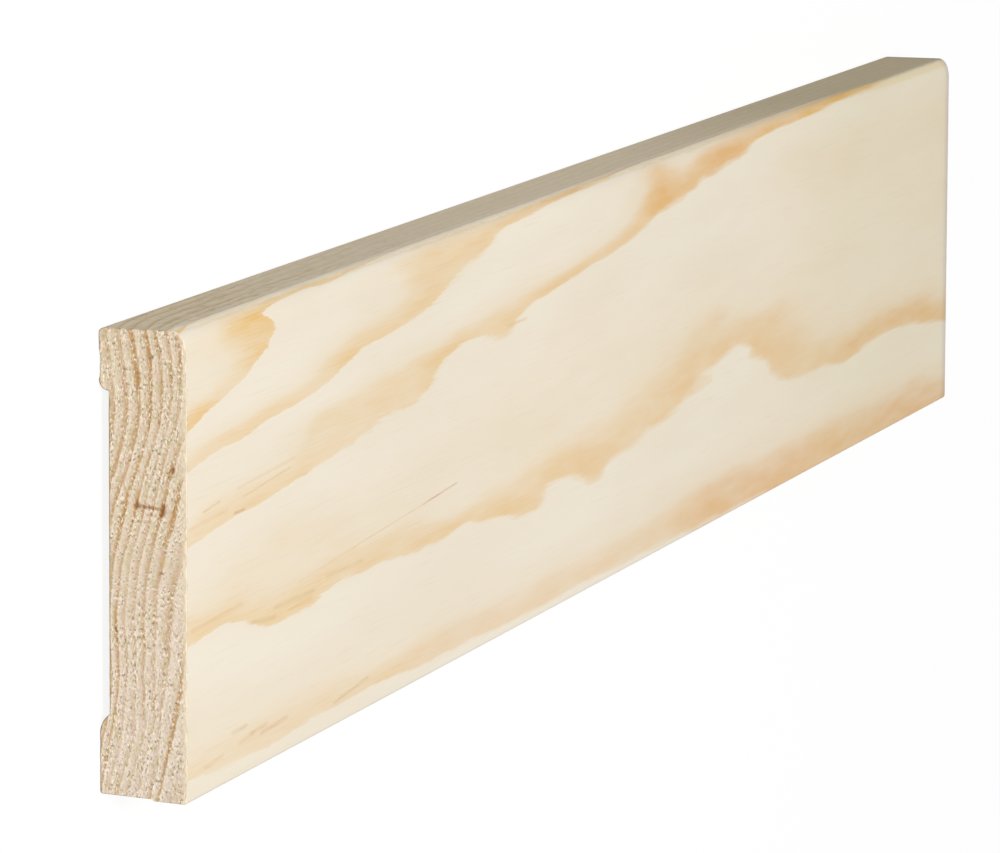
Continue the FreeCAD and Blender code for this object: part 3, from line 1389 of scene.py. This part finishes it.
    def machined(
        self, bench: NodeBench, wood: Source, along: Source, rough: Source, scuffs: Source
    ) -> bpy.types.NodeSocket:
        """The wood with its rough edges, which were never sanded.

        Args:
            bench: The material's nodes.
            wood: The colour so far.
            along: The share of the board's length.
            rough: How rough it is.
            scuffs: The noise of the machined wood.

        Returns:
            The colour's socket.
        """
        far = bench.ramp(along, self.darkening)
        wood = bench.tinted(rough, wood, self.rough_tint)
        wood = bench.tinted(bench.times(rough, far), wood, self.rough_far)
        scuffed = bench.times(bench.ramp(scuffs, self.scuff_depth), rough)
        scuffed = bench.times(scuffed, bench.ramp(along, self.calming))
        return bench.blend(scuffed, wood, self.rough_streak)


@dataclass(frozen=True)
class SawnPine:
    """Pine sawn across the grain, with the rings on edge under torn and fuzzy fibres.

    A curve gives the height at each of its places, in straight stretches.

    Args:
        early: The pale wood of each ring.
        rosy: The same where it leans towards pink.
        cool: The same towards the floor edge.
        late: The dense line that ends each ring.
        fuzz: Raised, bleached fibre ends.
        pit: The shade inside torn cells.
        resin: Dark resin.
        rim: Painted shade: the dark edge of the end along the wall side, where its crumbled edge
            turns from the light.
        highlight_edge: Painted highlight: the pale edge of the end along the show face, where its
            arris catches the light.
        olive: The greener tone that mottles the wood.
        roughness: How matt the wood is.
        gloss: How strongly it mirrors.
        tear_depth: How deep the torn fibres stand, in metres.
        relief_shown: How much of that relief shows.
        waver: How far the lines waver, as a share of a ring.
        resin_waver: How far the resin's edge wavers.
        shade_edge_waver: How far that painted shade's edge wavers.
        highlight_edge_waver: How far that painted highlight's edge wavers.
        cooling: The height over which the early wood turns cool, in metres.
        wavers: The grain of the wavering lines.
        fuzzes: The grain of the raised fibre ends.
        pits: The grain of the torn cells.
        tears: The grain of the patches that the saw has torn more.
        flushes: The grain of the rosy mottling.
        mosses: The grain of the olive mottling.
        late_shape: How deep the late wood is through one ring.
        early_shape: How bleached the first early wood is through one ring.
        rosy_share: How rosy the wood is by its mottling.
        cool_share: How cool the wood is towards the floor edge.
        olive_share: How olive the wood is by its mottling.
        tear_share: How strong fuzz and pits are by patch.
        fuzz_share: How much fuzz there is by its grain.
        pit_share: How much pit there is by its grain.
        resin_share: How much resin shows by how soaked the wood is.
        shade_edge_share: How deep that painted shade is on the wall side's edge, by how near it is.
        highlight_edge_share: How pale that painted highlight makes the show face's edge, by how near
            it is.
    """

    early: Colour = linear(220, 205, 179)
    rosy: Colour = linear(223, 199, 177)
    cool: Colour = linear(224, 207, 192)
    late: Colour = linear(186, 140, 80)
    fuzz: Colour = linear(252, 240, 220)
    pit: Colour = linear(138, 118, 88)
    resin: Colour = linear(138, 84, 30)
    rim: Colour = linear(158, 142, 102)
    highlight_edge: Colour = linear(240, 224, 196)
    olive: Colour = linear(206, 192, 152)
    roughness: float = 0.8
    gloss: float = 0.1
    tear_depth: float = 0.00015
    relief_shown: float = 0.7
    waver: float = 0.2
    resin_waver: float = 0.7
    shade_edge_waver: float = 0.6
    highlight_edge_waver: float = 0.8
    cooling: float = 0.09
    wavers: Grain = Grain((2.0, 2.2, 0.7), 3)
    fuzzes: Grain = Grain((1.5, 0.75, 0.42))
    pits: Grain = Grain((1.5, 0.7, 0.42))
    tears: Grain = Grain((3.0, 4.0, 1.6))
    flushes: Grain = Grain((3.0, 2.4, 1.5))
    mosses: Grain = Grain((3.1, 2.0, 1.3))
    late_shape: Points = (
        (0.0, 0.4), (0.06, 0.0), (0.5, 0.04), (0.62, 0.28), (0.74, 0.8), (0.84, 1.0), (0.95, 1.0),
        (1.0, 0.5),
    )
    early_shape: Points = ((0.0, 0.0), (0.06, 0.3), (0.22, 0.25), (0.4, 0.0))
    rosy_share: Points = ((0.4, 0.0), (0.6, 1.0))
    cool_share: Points = ((0.35, 0.0), (0.85, 0.75))
    olive_share: Points = ((0.48, 0.0), (0.64, 0.7))
    tear_share: Points = ((0.38, 0.25), (0.58, 1.0))
    fuzz_share: Points = ((0.51, 0.0), (0.64, 0.85))
    pit_share: Points = ((0.54, 0.0), (0.66, 0.8))
    resin_share: Points = ((0.2, 0.0), (0.85, 0.9))
    shade_edge_share: Points = ((0.25, 0.0), (0.7, 0.9))
    highlight_edge_share: Points = ((0.1, 0.0), (0.8, 0.85))

    def material(self) -> bpy.types.Material:
        """The finish as a material.

        Returns:
            The material.
        """
        finish, bench, shader = bare_finish("sawn_pine")
        fuzz = bench.grain(self.fuzzes)
        pits = bench.grain(self.pits)
        wood = self.ringed(bench)
        wood = self.torn(bench, wood, fuzz, pits)
        wood = self.soaked(bench, wood, pits)
        wood = self.with_painted_edges(bench, wood, fuzz)
        bench.feed(shader.inputs["Base Color"], wood)
        bench.feed(shader.inputs["Roughness"], self.roughness)
        bench.feed(shader.inputs["Specular IOR Level"], self.gloss)
        slopes = bench.relief(bench.less(fuzz, pits), self.tear_depth, self.relief_shown)
        bench.feed(shader.inputs["Normal"], slopes)
        return finish

    def ringed(self, bench: NodeBench) -> bpy.types.NodeSocket:
        """The mottled wood with its rings.

        Args:
            bench: The material's nodes.

        Returns:
            The colour's socket.
        """
        wavering = bench.spread(bench.grain(self.wavers), self.waver)
        turn = bench.reckon("FRACT", bench.plus(bench.carried(Attribute.RING), wavering))
        late = bench.times(bench.ramp(turn, self.late_shape), bench.carried(Attribute.RICHNESS))
        rosy = bench.ramp(bench.grain(self.flushes), self.rosy_share)
        pale = bench.blend(rosy, self.early, self.rosy)
        _, up = bench.on_face()
        by_floor = bench.plus(0.5, bench.times(up, -1 / self.cooling))
        pale = bench.blend(bench.ramp(by_floor, self.cool_share), pale, self.cool)
        pale = bench.blend(bench.ramp(bench.grain(self.mosses), self.olive_share), pale, self.olive)
        pale = bench.blend(bench.ramp(turn, self.early_shape), pale, self.fuzz)
        return bench.blend(late, pale, self.late)

    def torn(
        self, bench: NodeBench, wood: Source, fuzz: Source, pits: Source
    ) -> bpy.types.NodeSocket:
        """The wood with raised fibre ends and torn cells.

        Args:
            bench: The material's nodes.
            wood: The colour so far.
            fuzz: The noise of the fibre ends.
            pits: The noise of the torn cells.

        Returns:
            The colour's socket.
        """
        patchy = bench.ramp(bench.grain(self.tears), self.tear_share)
        lifted = bench.times(bench.ramp(fuzz, self.fuzz_share), patchy)
        wood = bench.blend(lifted, wood, self.fuzz)
        sunk = bench.times(bench.ramp(pits, self.pit_share), patchy)
        return bench.blend(sunk, wood, self.pit)

    def soaked(self, bench: NodeBench, wood: Source, pits: Source) -> bpy.types.NodeSocket:
        """The wood with its resin, whose edge wavers with the torn cells."""
        soaked = bench.plus(bench.carried(Attribute.RESIN), bench.spread(pits, self.resin_waver))
        return bench.blend(bench.ramp(soaked, self.resin_share), wood, self.resin)

    def with_painted_edges(self, bench: NodeBench, wood: Source, fuzz: Source) -> bpy.types.NodeSocket:
        """The wood with painted shade as a dark edge along the wall side, and a painted highlight as
        a pale edge along the show face.

        Args:
            bench: The material's nodes.
            wood: The colour so far.
            fuzz: The noise of the fibre ends.

        Returns:
            The colour's socket.
        """
        rim = bench.carried(Attribute.RIM_SHADE_AND_HIGHLIGHT)
        # Painted shade: darkens the end's edge along the wall side.
        by_wall = bench.plus(rim, bench.spread(fuzz, self.shade_edge_waver))
        by_wall = bench.times(by_wall, bench.held(bench.reckon("CEIL", rim)))
        wood = bench.blend(bench.ramp(by_wall, self.shade_edge_share), wood, self.rim)
        # Painted highlight: pales the end's edge along the show face, where its arris catches the
        # light.
        by_face = bench.times(rim, -1.0)
        wavering = bench.times(bench.spread(fuzz, self.highlight_edge_waver), by_face)
        by_face = bench.plus(by_face, wavering)
        return bench.blend(bench.ramp(by_face, self.highlight_edge_share), wood, self.highlight_edge)


@dataclass
class MeshDraft:
    """A mesh in the making, in millimetres from the near end, the floor edge and the wall.

    Args:
        corners: Its corners.
        faces: Its faces, as the numbers of their corners.
        sawn: For each face, 1 on a sawn end and else 0.
    """

    corners: list[Place] = field(default_factory=list)
    faces: list[tuple[int, ...]] = field(default_factory=list)
    sawn: list[int] = field(default_factory=list)

    def add_loop(self, along: np.ndarray, outline: np.ndarray) -> list[int]:
        """Adds a closed loop of corners.

        Args:
            along: The distance of each from the near end.
            outline: The places, as up the board and out from the wall.

        Returns:
            The corners' numbers.
        """
        first = len(self.corners)
        self.corners.extend((float(x), float(up), float(out)) for x, (up, out) in zip(along, outline))
        return list(range(first, len(self.corners)))

    def join(self, start: list[int], stop: list[int], sawn: bool) -> None:
        """Joins two loops with a band of faces.

        Args:
            start: The loop on the near side of the band.
            stop: The loop on its far side.
            sawn: Whether the band is on a sawn end.
        """
        count = len(start)
        for point in range(count):
            after = (point + 1) % count
            self.faces.append((start[point], stop[point], stop[after], start[after]))
            self.sawn.append(int(sawn))


@dataclass(frozen=True)
class Ripple:
    """Smooth noise over a sawn end.

    Args:
        layer: Which of the noise's layers it is.
        per_up: How fast it changes up the board, to a millimetre.
        per_out: How fast it changes out from the wall.
    """

    layer: float
    per_up: float
    per_out: float

    def at(self, end: End, place: Vector | np.ndarray) -> float:
        """Its height at a place on an end, from about -1 to 1."""
        spot = (end.value * self.layer, place[0] * self.per_up, place[1] * self.per_out)
        return noise.noise(Vector(spot))


@dataclass(frozen=True)
class Crumble:
    """How unevenly a sawn end has broken, as shares of the full depth.

    Args:
        level: The share that the rest wanders about.
        coarse: How far it wanders in wide ripples.
        fine: How far it wanders in narrow ones.
        least: The least share.
        most: The greatest share.
        wide: The wide ripples.
        narrow: The narrow ones.
    """

    level: float
    coarse: float
    fine: float
    least: float = 0.0
    most: float = 1.0
    wide: Ripple = Ripple(7, 0.5, 0.5)
    narrow: Ripple = Ripple(9, 1.9, 1.9)

    def at(self, end: End, place: Vector | np.ndarray) -> float:
        """The share of the full depth at a place on an end."""
        share = self.level + self.coarse * self.wide.at(end, place)
        return min(self.most, max(self.least, share + self.fine * self.narrow.at(end, place)))


@dataclass(frozen=True)
class Notch:
    """Where the near end's edge by the wall is torn out.

    Args:
        low: Where it starts, up the board in millimetres.
        high: Where it stops.
        depth: How deep it is torn.
        reach: How far along the board the tear fades out.
        inside: The share of the depth within the notch, and how far that wanders.
        beside: The same on the rest of the wall side.
        least: The least depth that is cut.
        ripples: How fast the tear changes along the board and up it, to a millimetre.
        layer: Which of the noise's layers it follows.
    """

    low: float = 82.3
    high: float = 87.6
    depth: float = 0.2
    reach: float = 7.0
    inside: Pair = (1.0, 0.8)
    beside: Pair = (0.15, 0.35)
    least: float = 0.005
    ripples: Pair = (0.2, 1.3)
    layer: float = 4.0

    def holds(self, up: float) -> bool:
        """Whether a distance up the board lies in the notch."""
        return self.low < up < self.high

    def cut(self, outline: np.ndarray, along: float, wall_side: float) -> np.ndarray:
        """The outline with its wall side torn out, deepest at the near end.

        Args:
            outline: The section's outline.
            along: The distance from the near end.
            wall_side: How far out from the wall the tear can start.

        Returns:
            The torn outline.
        """
        left = self.depth * math.exp(-((along / self.reach) ** 2))
        torn = outline.copy()
        for point in torn:
            if point[1] <= wall_side and left > self.least:
                spot = (along * self.ripples[0], point[0] * self.ripples[1], self.layer)
                share, wander = self.inside if self.holds(point[0]) else self.beside
                point[1] += left * (share + wander * abs(noise.noise(Vector(spot))))
        return torn


@dataclass(frozen=True)
class Sanding:
    """How far the sanding of the show face reaches over its easing.

    Args:
        down_to: How far out from the wall it reaches, in millimetres.
        fade: Over what distance it gives way to rough machining.
        span: How far the fade is followed on its sanded and on its rough side.
        far_from: Where along the board it starts to stop short.
        far_over: Over what distance it does.
        far_rise: How much further from the wall it then stops.
        far_narrowing: How much shorter its fade then is, as a share.
        calm_from: Where along the board the bands start to fade from the rough wood.
        calm_over: Over what distance they do.
        calm: How much they fade, before and after.
        arris_from: Where up the rolled-out face the bands pale on the far arris.
        arris_over: Over what distance they do.
        arris_along: Where along the board that starts, and over what distance.
        arris_paling: How much they pale there.
    """

    down_to: float = 14.4
    fade: float = 2.2
    span: Pair = (-1.2, 1.5)
    far_from: float = 440.0
    far_over: float = 100.0
    far_rise: float = 2.2
    far_narrowing: float = 0.6
    calm_from: float = 50.0
    calm_over: float = 110.0
    calm: Pair = (0.15, 0.8)
    arris_from: float = 89.0
    arris_over: float = 2.0
    arris_along: Pair = (300.0, 100.0)
    arris_paling: float = 0.2

    def rough(self, along: np.ndarray, out: np.ndarray) -> np.ndarray:
        """How rough the wood is.

        Args:
            along: Distances from the near end, in millimetres.
            out: Distances from the wall.

        Returns:
            From below 0, sanded, to 1 and above, only machined.
        """
        far = share_past(along, self.far_from, self.far_over)
        fade = self.fade * (1 - self.far_narrowing * far)
        return np.clip((self.down_to + self.far_rise * far - out) / fade, *self.span)

    def left_of_bands(self, along: np.ndarray, rolled: np.ndarray, rough: np.ndarray) -> np.ndarray:
        """How much of their richness the bands keep.

        Args:
            along: Distances from the near end, in millimetres.
            rolled: Distances up the show face, with its easing rolled out.
            rough: How rough the wood is.

        Returns:
            The shares that they keep.
        """
        before, after = self.calm
        calm = before + (after - before) * share_past(along, self.calm_from, self.calm_over)
        on_arris = share_past(rolled, self.arris_from, self.arris_over)
        on_arris = on_arris * share_past(along, *self.arris_along)
        return (1 - self.arris_paling * on_arris) * (1 - calm * np.clip(rough, 0, 1))


@dataclass
class SkirtingBoard:
    """The whole board: four machined sides swept along it, and two sawn ends.

    Args:
        length: From sawn end to sawn end, in millimetres.
        section: The board's section.
        rings: The age of the wood.
        sanding: How far its show face is sanded.
        planed: The finish of the four sides.
        sawn: The finish of the two ends.
        spacing: The distance between the swept sections.
        inset: How far from each end the swept sides stop.
        round_off: For each end, shares of the inset with the shares of the edge's wear there.
        wear: How far each end's edge is worn back, by the wall and by the show face.
        edges: How unevenly each end's edge is worn.
        notch: Where the near end's edge is torn out.
        notch_edge: How unevenly that edge is worn in the notch.
        weave: The spacing of each end's points.
        weave_shake: How far the points are shaken, as a share of their spacing.
        weave_margin: How far they stay inside the end's edge, as a share of it.
        weld: How near to each other two of them count as one.
        tear: How deep the saw tears the ends.
        surface: How unevenly it tears them.
        skin: How deep the torn surface of an end counts as its own.
        shade_edge_width: Width of the painted shade along the near end's wall side.
        highlight_edge_width: Width of its painted highlight, along the show face.
        resin_depth: How deep the near end's resin reaches.
        sharp: The angle in degrees from which an edge shows sharp.
        seed: What the uneven points are drawn from.
    """

    length: float = 600.0
    section: BoardSection = field(default_factory=BoardSection)
    rings: GrowthRings = field(default_factory=GrowthRings)
    sanding: Sanding = Sanding()
    planed: PlanedPine = PlanedPine()
    sawn: SawnPine = SawnPine()
    spacing: float = 3.0
    inset: dict[End, float] = field(default_factory=lambda: {End.NEAR: 0.8, End.FAR: 2.6})
    round_off: dict[End, Points] = field(
        default_factory=lambda: {
            End.NEAR: ((0.45, 0.0), (0.16, 0.3), (0.0, 1.0)),
            End.FAR: ((0.75, 0.03), (0.5, 0.13), (0.29, 0.29), (0.13, 0.5), (0.03, 0.75), (0.0, 1.0)),
        }
    )
    wear: dict[End, Pair] = field(
        default_factory=lambda: {End.NEAR: (0.42, 0.3), End.FAR: (1.8, 1.6)}
    )
    edges: dict[End, Crumble] = field(
        default_factory=lambda: {
            End.NEAR: Crumble(0.45, 0.7, 0.6, least=0.15), End.FAR: Crumble(0.9, 0.1, 0.0)
        }
    )
    notch: Notch = Notch()
    notch_edge: Crumble = Crumble(0.75, 0.0, 0.4, most=1.15)
    weave: dict[End, float] = field(default_factory=lambda: {End.NEAR: 0.34, End.FAR: 0.5})
    weave_shake: float = 0.35
    weave_margin: float = 0.6
    weld: float = 1e-5
    tear: float = 0.2
    surface: Crumble = Crumble(
        0.35, 0.35, 0.8, wide=Ripple(5, 0.9, 1.3), narrow=Ripple(3, 2.3, 3.1)
    )
    skin: float = 0.3
    shade_edge_width: float = 0.35
    highlight_edge_width: float = 0.85
    resin_depth: float = 1.0
    sharp: float = 50.0
    seed: int = 7

    def build(self) -> bpy.types.Object:
        """Makes the board and dresses it.

        Returns:
            The board's object.
        """
        outline = self.section.outline()
        draft = MeshDraft()
        first, last = self.inset[End.NEAR], self.length - self.inset[End.FAR]
        stations = np.linspace(first, last, math.ceil(self.length / self.spacing))
        loops = [
            draft.add_loop(np.full(len(outline), along), self.torn_outline(outline, along))
            for along in stations
        ]
        for start, stop in zip(loops, loops[1:]):
            draft.join(start, stop, sawn=False)
        self.close(draft, End.NEAR, outline, loops[0])
        self.close(draft, End.FAR, outline, loops[-1])

        corners = np.array(draft.corners)
        middle = (self.length / 2, (outline[:, 0].max() + outline[:, 0].min()) / 2, 0)
        mesh = bpy.data.meshes.new("skirting_board_dressed")
        mesh.from_pydata(((corners - middle) * MM).tolist(), [], draft.faces)
        mesh.materials.append(self.planed.material())
        mesh.materials.append(self.sawn.material())
        mesh.polygons.foreach_set("material_index", np.array(draft.sawn, dtype=np.int32))
        mesh.polygons.foreach_set("use_smooth", np.ones(len(draft.faces), dtype=bool))
        self.carry(mesh, corners)
        mesh.update()
        mesh.set_sharp_from_angle(angle=math.radians(self.sharp))

        board = bpy.data.objects.new("skirting_board_dressed", mesh)
        bpy.context.scene.collection.objects.link(board)
        return board

    def torn_outline(self, outline: np.ndarray, along: float) -> np.ndarray:
        """The section's outline at a distance from the near end, with the tear in its wall side."""
        return self.notch.cut(outline, along, self.section.relief)

    def close(self, draft: MeshDraft, end: End, outline: np.ndarray, rim: list[int]) -> None:
        """Adds a sawn end, with its crumbled edge and torn surface.

        Args:
            draft: The board's mesh so far.
            end: Which end.
            outline: The section's outline.
            rim: The last swept loop before the end.
        """
        outline = self.torn_outline(outline, 0.0) if end is End.NEAR else outline
        way = np.roll(outline, -1, axis=0) - np.roll(outline, 1, axis=0)
        way /= np.linalg.norm(way, axis=1)[:, None]
        inward = np.c_[-way[:, 1], way[:, 0]] * self.section.turn(outline)
        by_face = np.clip(outline[:, 1] / self.section.thickness, 0, 1)
        by_wall, at_face = self.wear[end]
        reach = by_wall + (at_face - by_wall) * by_face
        reach = reach * np.array([self.broken(end, place) for place in outline])

        for depth, share in self.round_off[end]:
            loop = draft.add_loop(
                self.past_plane(end, np.full(len(outline), depth * self.inset[end])),
                outline + inward * (reach * share)[:, None],
            )
            pair = (loop, rim) if end is End.NEAR else (rim, loop)
            draft.join(*pair, sawn=end is End.NEAR and share > 0)
            rim = loop
        self.weave_end(draft, end, rim)

    def past_plane(self, end: End, depth: np.ndarray) -> np.ndarray:
        """Distances from the near end, of places at a depth inside one of the ends."""
        return depth if end is End.NEAR else self.length - depth

    def broken(self, end: End, place: np.ndarray) -> float:
        """How far an end's edge is worn at a place.

        Args:
            end: Which end.
            place: The place, up the board and out from the wall.

        Returns:
            The wear, as a share of the end's own.
        """
        on_wall_side = place[1] < self.section.relief
        in_notch = end is End.NEAR and on_wall_side and self.notch.holds(place[0])
        edge = self.notch_edge if in_notch else self.edges[end]
        return edge.at(end, place)

    def weave_end(self, draft: MeshDraft, end: End, rim: list[int]) -> None:
        """Fills a sawn end with small uneven faces, torn by the saw.

        Args:
            draft: The board's mesh so far.
            end: Which end.
            rim: The loop round it.
        """
        spacing = self.weave[end]
        shake = np.random.default_rng(self.seed + end.value)
        edge = np.array([draft.corners[index][1:] for index in rim])
        ups = np.arange(edge[:, 0].min(), edge[:, 0].max(), spacing)
        outs = np.arange(edge[:, 1].min(), edge[:, 1].max(), spacing)
        grid = np.array([(up, out) for up in ups for out in outs])
        grid += shake.uniform(-self.weave_shake, self.weave_shake, grid.shape) * spacing
        grid = grid[self.section.holds(grid, edge, spacing * self.weave_margin)]
        count = len(rim)
        places = [Vector(place) for place in np.vstack([edge, grid])]
        sides = [(point, (point + 1) % count) for point in range(count)]
        woven, _, triangles, *_ = delaunay_2d_cdt(places, sides, [], 0, self.weld, False)

        depth = [self.surface.at(end, place) * self.tear for place in woven[count:]]
        inner = draft.add_loop(self.past_plane(end, np.array(depth)), np.array(woven[count:]))
        numbers = rim + inner
        middles = np.array([sum((woven[k] for k in face), Vector((0, 0))) / 3 for face in triangles])
        kept = self.section.holds(middles, edge, 0.0)
        for face, inside in zip(triangles, kept):
            if inside:
                order = face[::-1] if end is End.NEAR else face
                draft.faces.append(tuple(numbers[k] for k in order))
                draft.sawn.append(1)

    def carry(self, mesh: bpy.types.Mesh, corners: np.ndarray) -> None:
        """Gives each point of the mesh what its finish reads.

        Args:
            mesh: The board's mesh.
            corners: Its points, in millimetres from the near end, the floor edge and the wall.
        """
        along, up, out = corners.T
        ages = self.rings.at(along, up, out)
        rolled = self.section.rolled(up)
        rough = self.sanding.rough(along, out)
        richness, blush = FACE_TONES.at(along, rolled)
        richness = richness * self.sanding.left_of_bands(along, rolled, rough)
        on_near_end = along < self.skin
        on_end = on_near_end | (along > self.length - self.skin)
        # Painted shade along the near end's wall side and painted highlight along its show face.
        off_wall = np.maximum(out - self.section.back(up), 0) / self.shade_edge_width
        off_face = np.maximum(self.section.front(up) - out, 0) / self.highlight_edge_width
        values = {
            Attribute.RING: ages,
            Attribute.RICHNESS: np.where(on_end, END_TONES.at(ages, up), richness),
            Attribute.BLUSH: blush,
            Attribute.RESIN: self.resin(up, out) * (along < self.resin_depth),
            Attribute.ROUGH: rough,
            Attribute.RIM_SHADE_AND_HIGHLIGHT: on_near_end * (np.exp(-(off_wall**2)) - np.exp(-(off_face**2))),
        }
        for name, numbers in values.items():
            layer = mesh.attributes.new(name.value, "FLOAT", "POINT")
            layer.data.foreach_set("value", numbers.astype(np.float32))

    @staticmethod
    def resin(up: np.ndarray, out: np.ndarray) -> np.ndarray:
        """How much resin there is at each point of the near end.

        Args:
            up: Distances from the floor edge, in millimetres.
            out: Distances from the wall.

        Returns:
            From 0, none, to 1, dark with it.
        """
        places = np.c_[up, out]
        amount = np.zeros(len(places))
        for spot in RESIN_SPOTS:
            gap = gap_to_side(places, np.array(spot.start), np.array(spot.stop)) / spot.reach
            amount = np.maximum(amount, spot.darkness * np.exp(-(gap**2)))
        return amount


@dataclass(frozen=True)
class SoftLamp:
    """A square soft lamp.

    Args:
        name: What it is for.
        place: Where it hangs, in metres.
        aim: What it points at.
        size: Its side, in metres.
        watts: Its power.
    """

    name: str
    place: Place
    aim: Place
    size: float
    watts: float

    def hang(self) -> None:
        """Puts the lamp in the scene."""
        light = bpy.data.lights.new(self.name, "AREA")
        light.size = self.size
        light.energy = self.watts
        lamp = bpy.data.objects.new(self.name, light)
        bpy.context.scene.collection.objects.link(lamp)
        lamp.location = self.place
        way = Vector(self.aim) - Vector(self.place)
        lamp.rotation_euler = way.to_track_quat("-Z", "Y").to_euler()


@dataclass
class Studio:
    """A pale floor, the air around it, and the lamps.

    Args:
        floor_side: Half the floor's side, in metres.
        floor_tone: How pale the floor is to the light that it throws back.
        shown_tone: How pale the part of it is that the lens sees in shade and light.
        shown_glow: The even white that the lens sees on top of that.
        sky: The strength of the light from all round.
        lamps: The lamps.
    """

    floor_side: float = 6.0
    floor_tone: Colour = (0.62, 0.62, 0.62)
    shown_tone: Colour = (0.13, 0.13, 0.13)
    shown_glow: float = 0.892
    sky: float = 0.28
    lamps: tuple[SoftLamp, ...] = (
        SoftLamp("key", (-2.1, 0.42, 2.34), (-0.1, 0.0, 0.0), 1.0, 83.0),
    )

    def seen_by_lens(self, bench: NodeBench) -> bpy.types.NodeSocket:
        """Whether a ray shows the background rather than lights the board.

        Args:
            bench: The nodes of the floor's paint or of the sky.

        Returns:
            A socket with 1 where it does, and else 0.
        """
        path = bench.add("ShaderNodeLightPath")
        seen, mirrored = path.outputs["Is Camera Ray"], path.outputs["Is Glossy Ray"]
        shown = bench.reckon("MAXIMUM", seen, mirrored)
        return bench.reckon("MAXIMUM", shown, path.outputs["Is Transmission Ray"])

    def build(self) -> None:
        """Lays the floor, sets the sky and hangs the lamps."""
        self.lay_floor()
        self.set_sky()
        for lamp in self.lamps:
            lamp.hang()

    def lay_floor(self) -> None:
        """Lays the floor, which shows white with the board's shadow on it."""
        side = self.floor_side
        corners = [(-side, -side, 0), (side, -side, 0), (side, side, 0), (-side, side, 0)]
        mesh = bpy.data.meshes.new("floor")
        mesh.from_pydata(corners, [], [(0, 1, 2, 3)])
        mesh.materials.append(self.floor_paint())
        floor = bpy.data.objects.new("floor", mesh)
        bpy.context.scene.collection.objects.link(floor)

    def floor_paint(self) -> bpy.types.Material:
        """The floor's paint, matt to the light and white to the lens but for the shadow.

        Returns:
            The material.
        """
        paint, bench, spare = bare_finish("floor_paint")
        paint.node_tree.nodes.remove(spare)
        matt = bench.add("ShaderNodeBsdfDiffuse")
        bench.feed(matt.inputs["Color"], self.floor_tone)
        shown = bench.add("ShaderNodeBsdfDiffuse")
        bench.feed(shown.inputs["Color"], self.shown_tone)
        glow = bench.add("ShaderNodeEmission")
        bench.feed(glow.inputs["Strength"], self.shown_glow)
        white = bench.add("ShaderNodeAddShader")
        bench.feed(white.inputs[0], shown.outputs[0])
        bench.feed(white.inputs[1], glow.outputs[0])
        choice = bench.add("ShaderNodeMixShader")
        bench.feed(choice.inputs[0], self.seen_by_lens(bench))
        bench.feed(choice.inputs[1], matt.outputs[0])
        bench.feed(choice.inputs[2], white.outputs[0])
        output = paint.node_tree.nodes["Material Output"]
        bench.feed(output.inputs["Surface"], choice.outputs[0])
        return paint

    def set_sky(self) -> None:
        """Sets the even light from all round, which the lens sees as white."""
        world = bpy.data.worlds.new("studio")
        world.use_nodes = True
        bench = NodeBench(world.node_tree)
        air = world.node_tree.nodes["Background"]
        bench.feed(air.inputs["Color"], (1.0, 1.0, 1.0))
        shown = self.seen_by_lens(bench)
        lit = bench.times(bench.less(1.0, shown), self.sky)
        bench.feed(air.inputs["Strength"], bench.plus(shown, lit))
        bpy.context.scene.world = world


@dataclass(frozen=True)
class Viewpoint:
    """The camera: low over the near end, on its side, so that the board stands up in the frame.

    Args:
        place: Where it is, in metres.
        right: The way that the frame's right side points.
        up: The way that the frame's top points.
        focal_share: The focal length, over the width of the frame.
        sensor: The width of the camera's sensor, in millimetres.
        nearest: How near the camera can see, in metres.
        furthest: How far it can see.
    """

    place: Place = (-1.58988, 0.22593, 0.48791)
    right: Place = (0.30159, 0.00427, 0.95343)
    up: Place = (0.13494, 0.98973, -0.04711)
    focal_share: float = 7.2549
    sensor: float = 36.0
    nearest: float = 0.05
    furthest: float = 50.0

    def set_up(self) -> None:
        """Puts the camera in the scene."""
        data = bpy.data.cameras.new("camera")
        data.sensor_width = self.sensor
        data.lens = self.sensor * self.focal_share
        data.clip_start = self.nearest
        data.clip_end = self.furthest
        camera = bpy.data.objects.new("camera", data)
        bpy.context.scene.collection.objects.link(camera)
        right = Vector(self.right).normalized()
        up = Vector(self.up)
        up = (up - right * up.dot(right)).normalized()
        turn = Matrix((right, up, right.cross(up))).transposed().to_4x4()
        camera.matrix_world = Matrix.Translation(self.place) @ turn
        bpy.context.scene.camera = camera


def main() -> None:
    """Builds the board and the studio round it."""
    logging.basicConfig(level=logging.INFO, format="%(name)s: %(message)s")
    bpy.context.scene.view_settings.view_transform = "Standard"

    board = SkirtingBoard().build()
    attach(board, "root")
    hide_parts("skirting_board")
    points, faces = len(board.data.vertices), len(board.data.polygons)
    LOG.info("%s: %d points, %d faces", board.name, points, faces)

    Studio().build()
    LOG.info("studio: floor, sky and lamps")
    Viewpoint().set_up()
    LOG.info("camera set up")


if __name__ == "__main__":
    main()
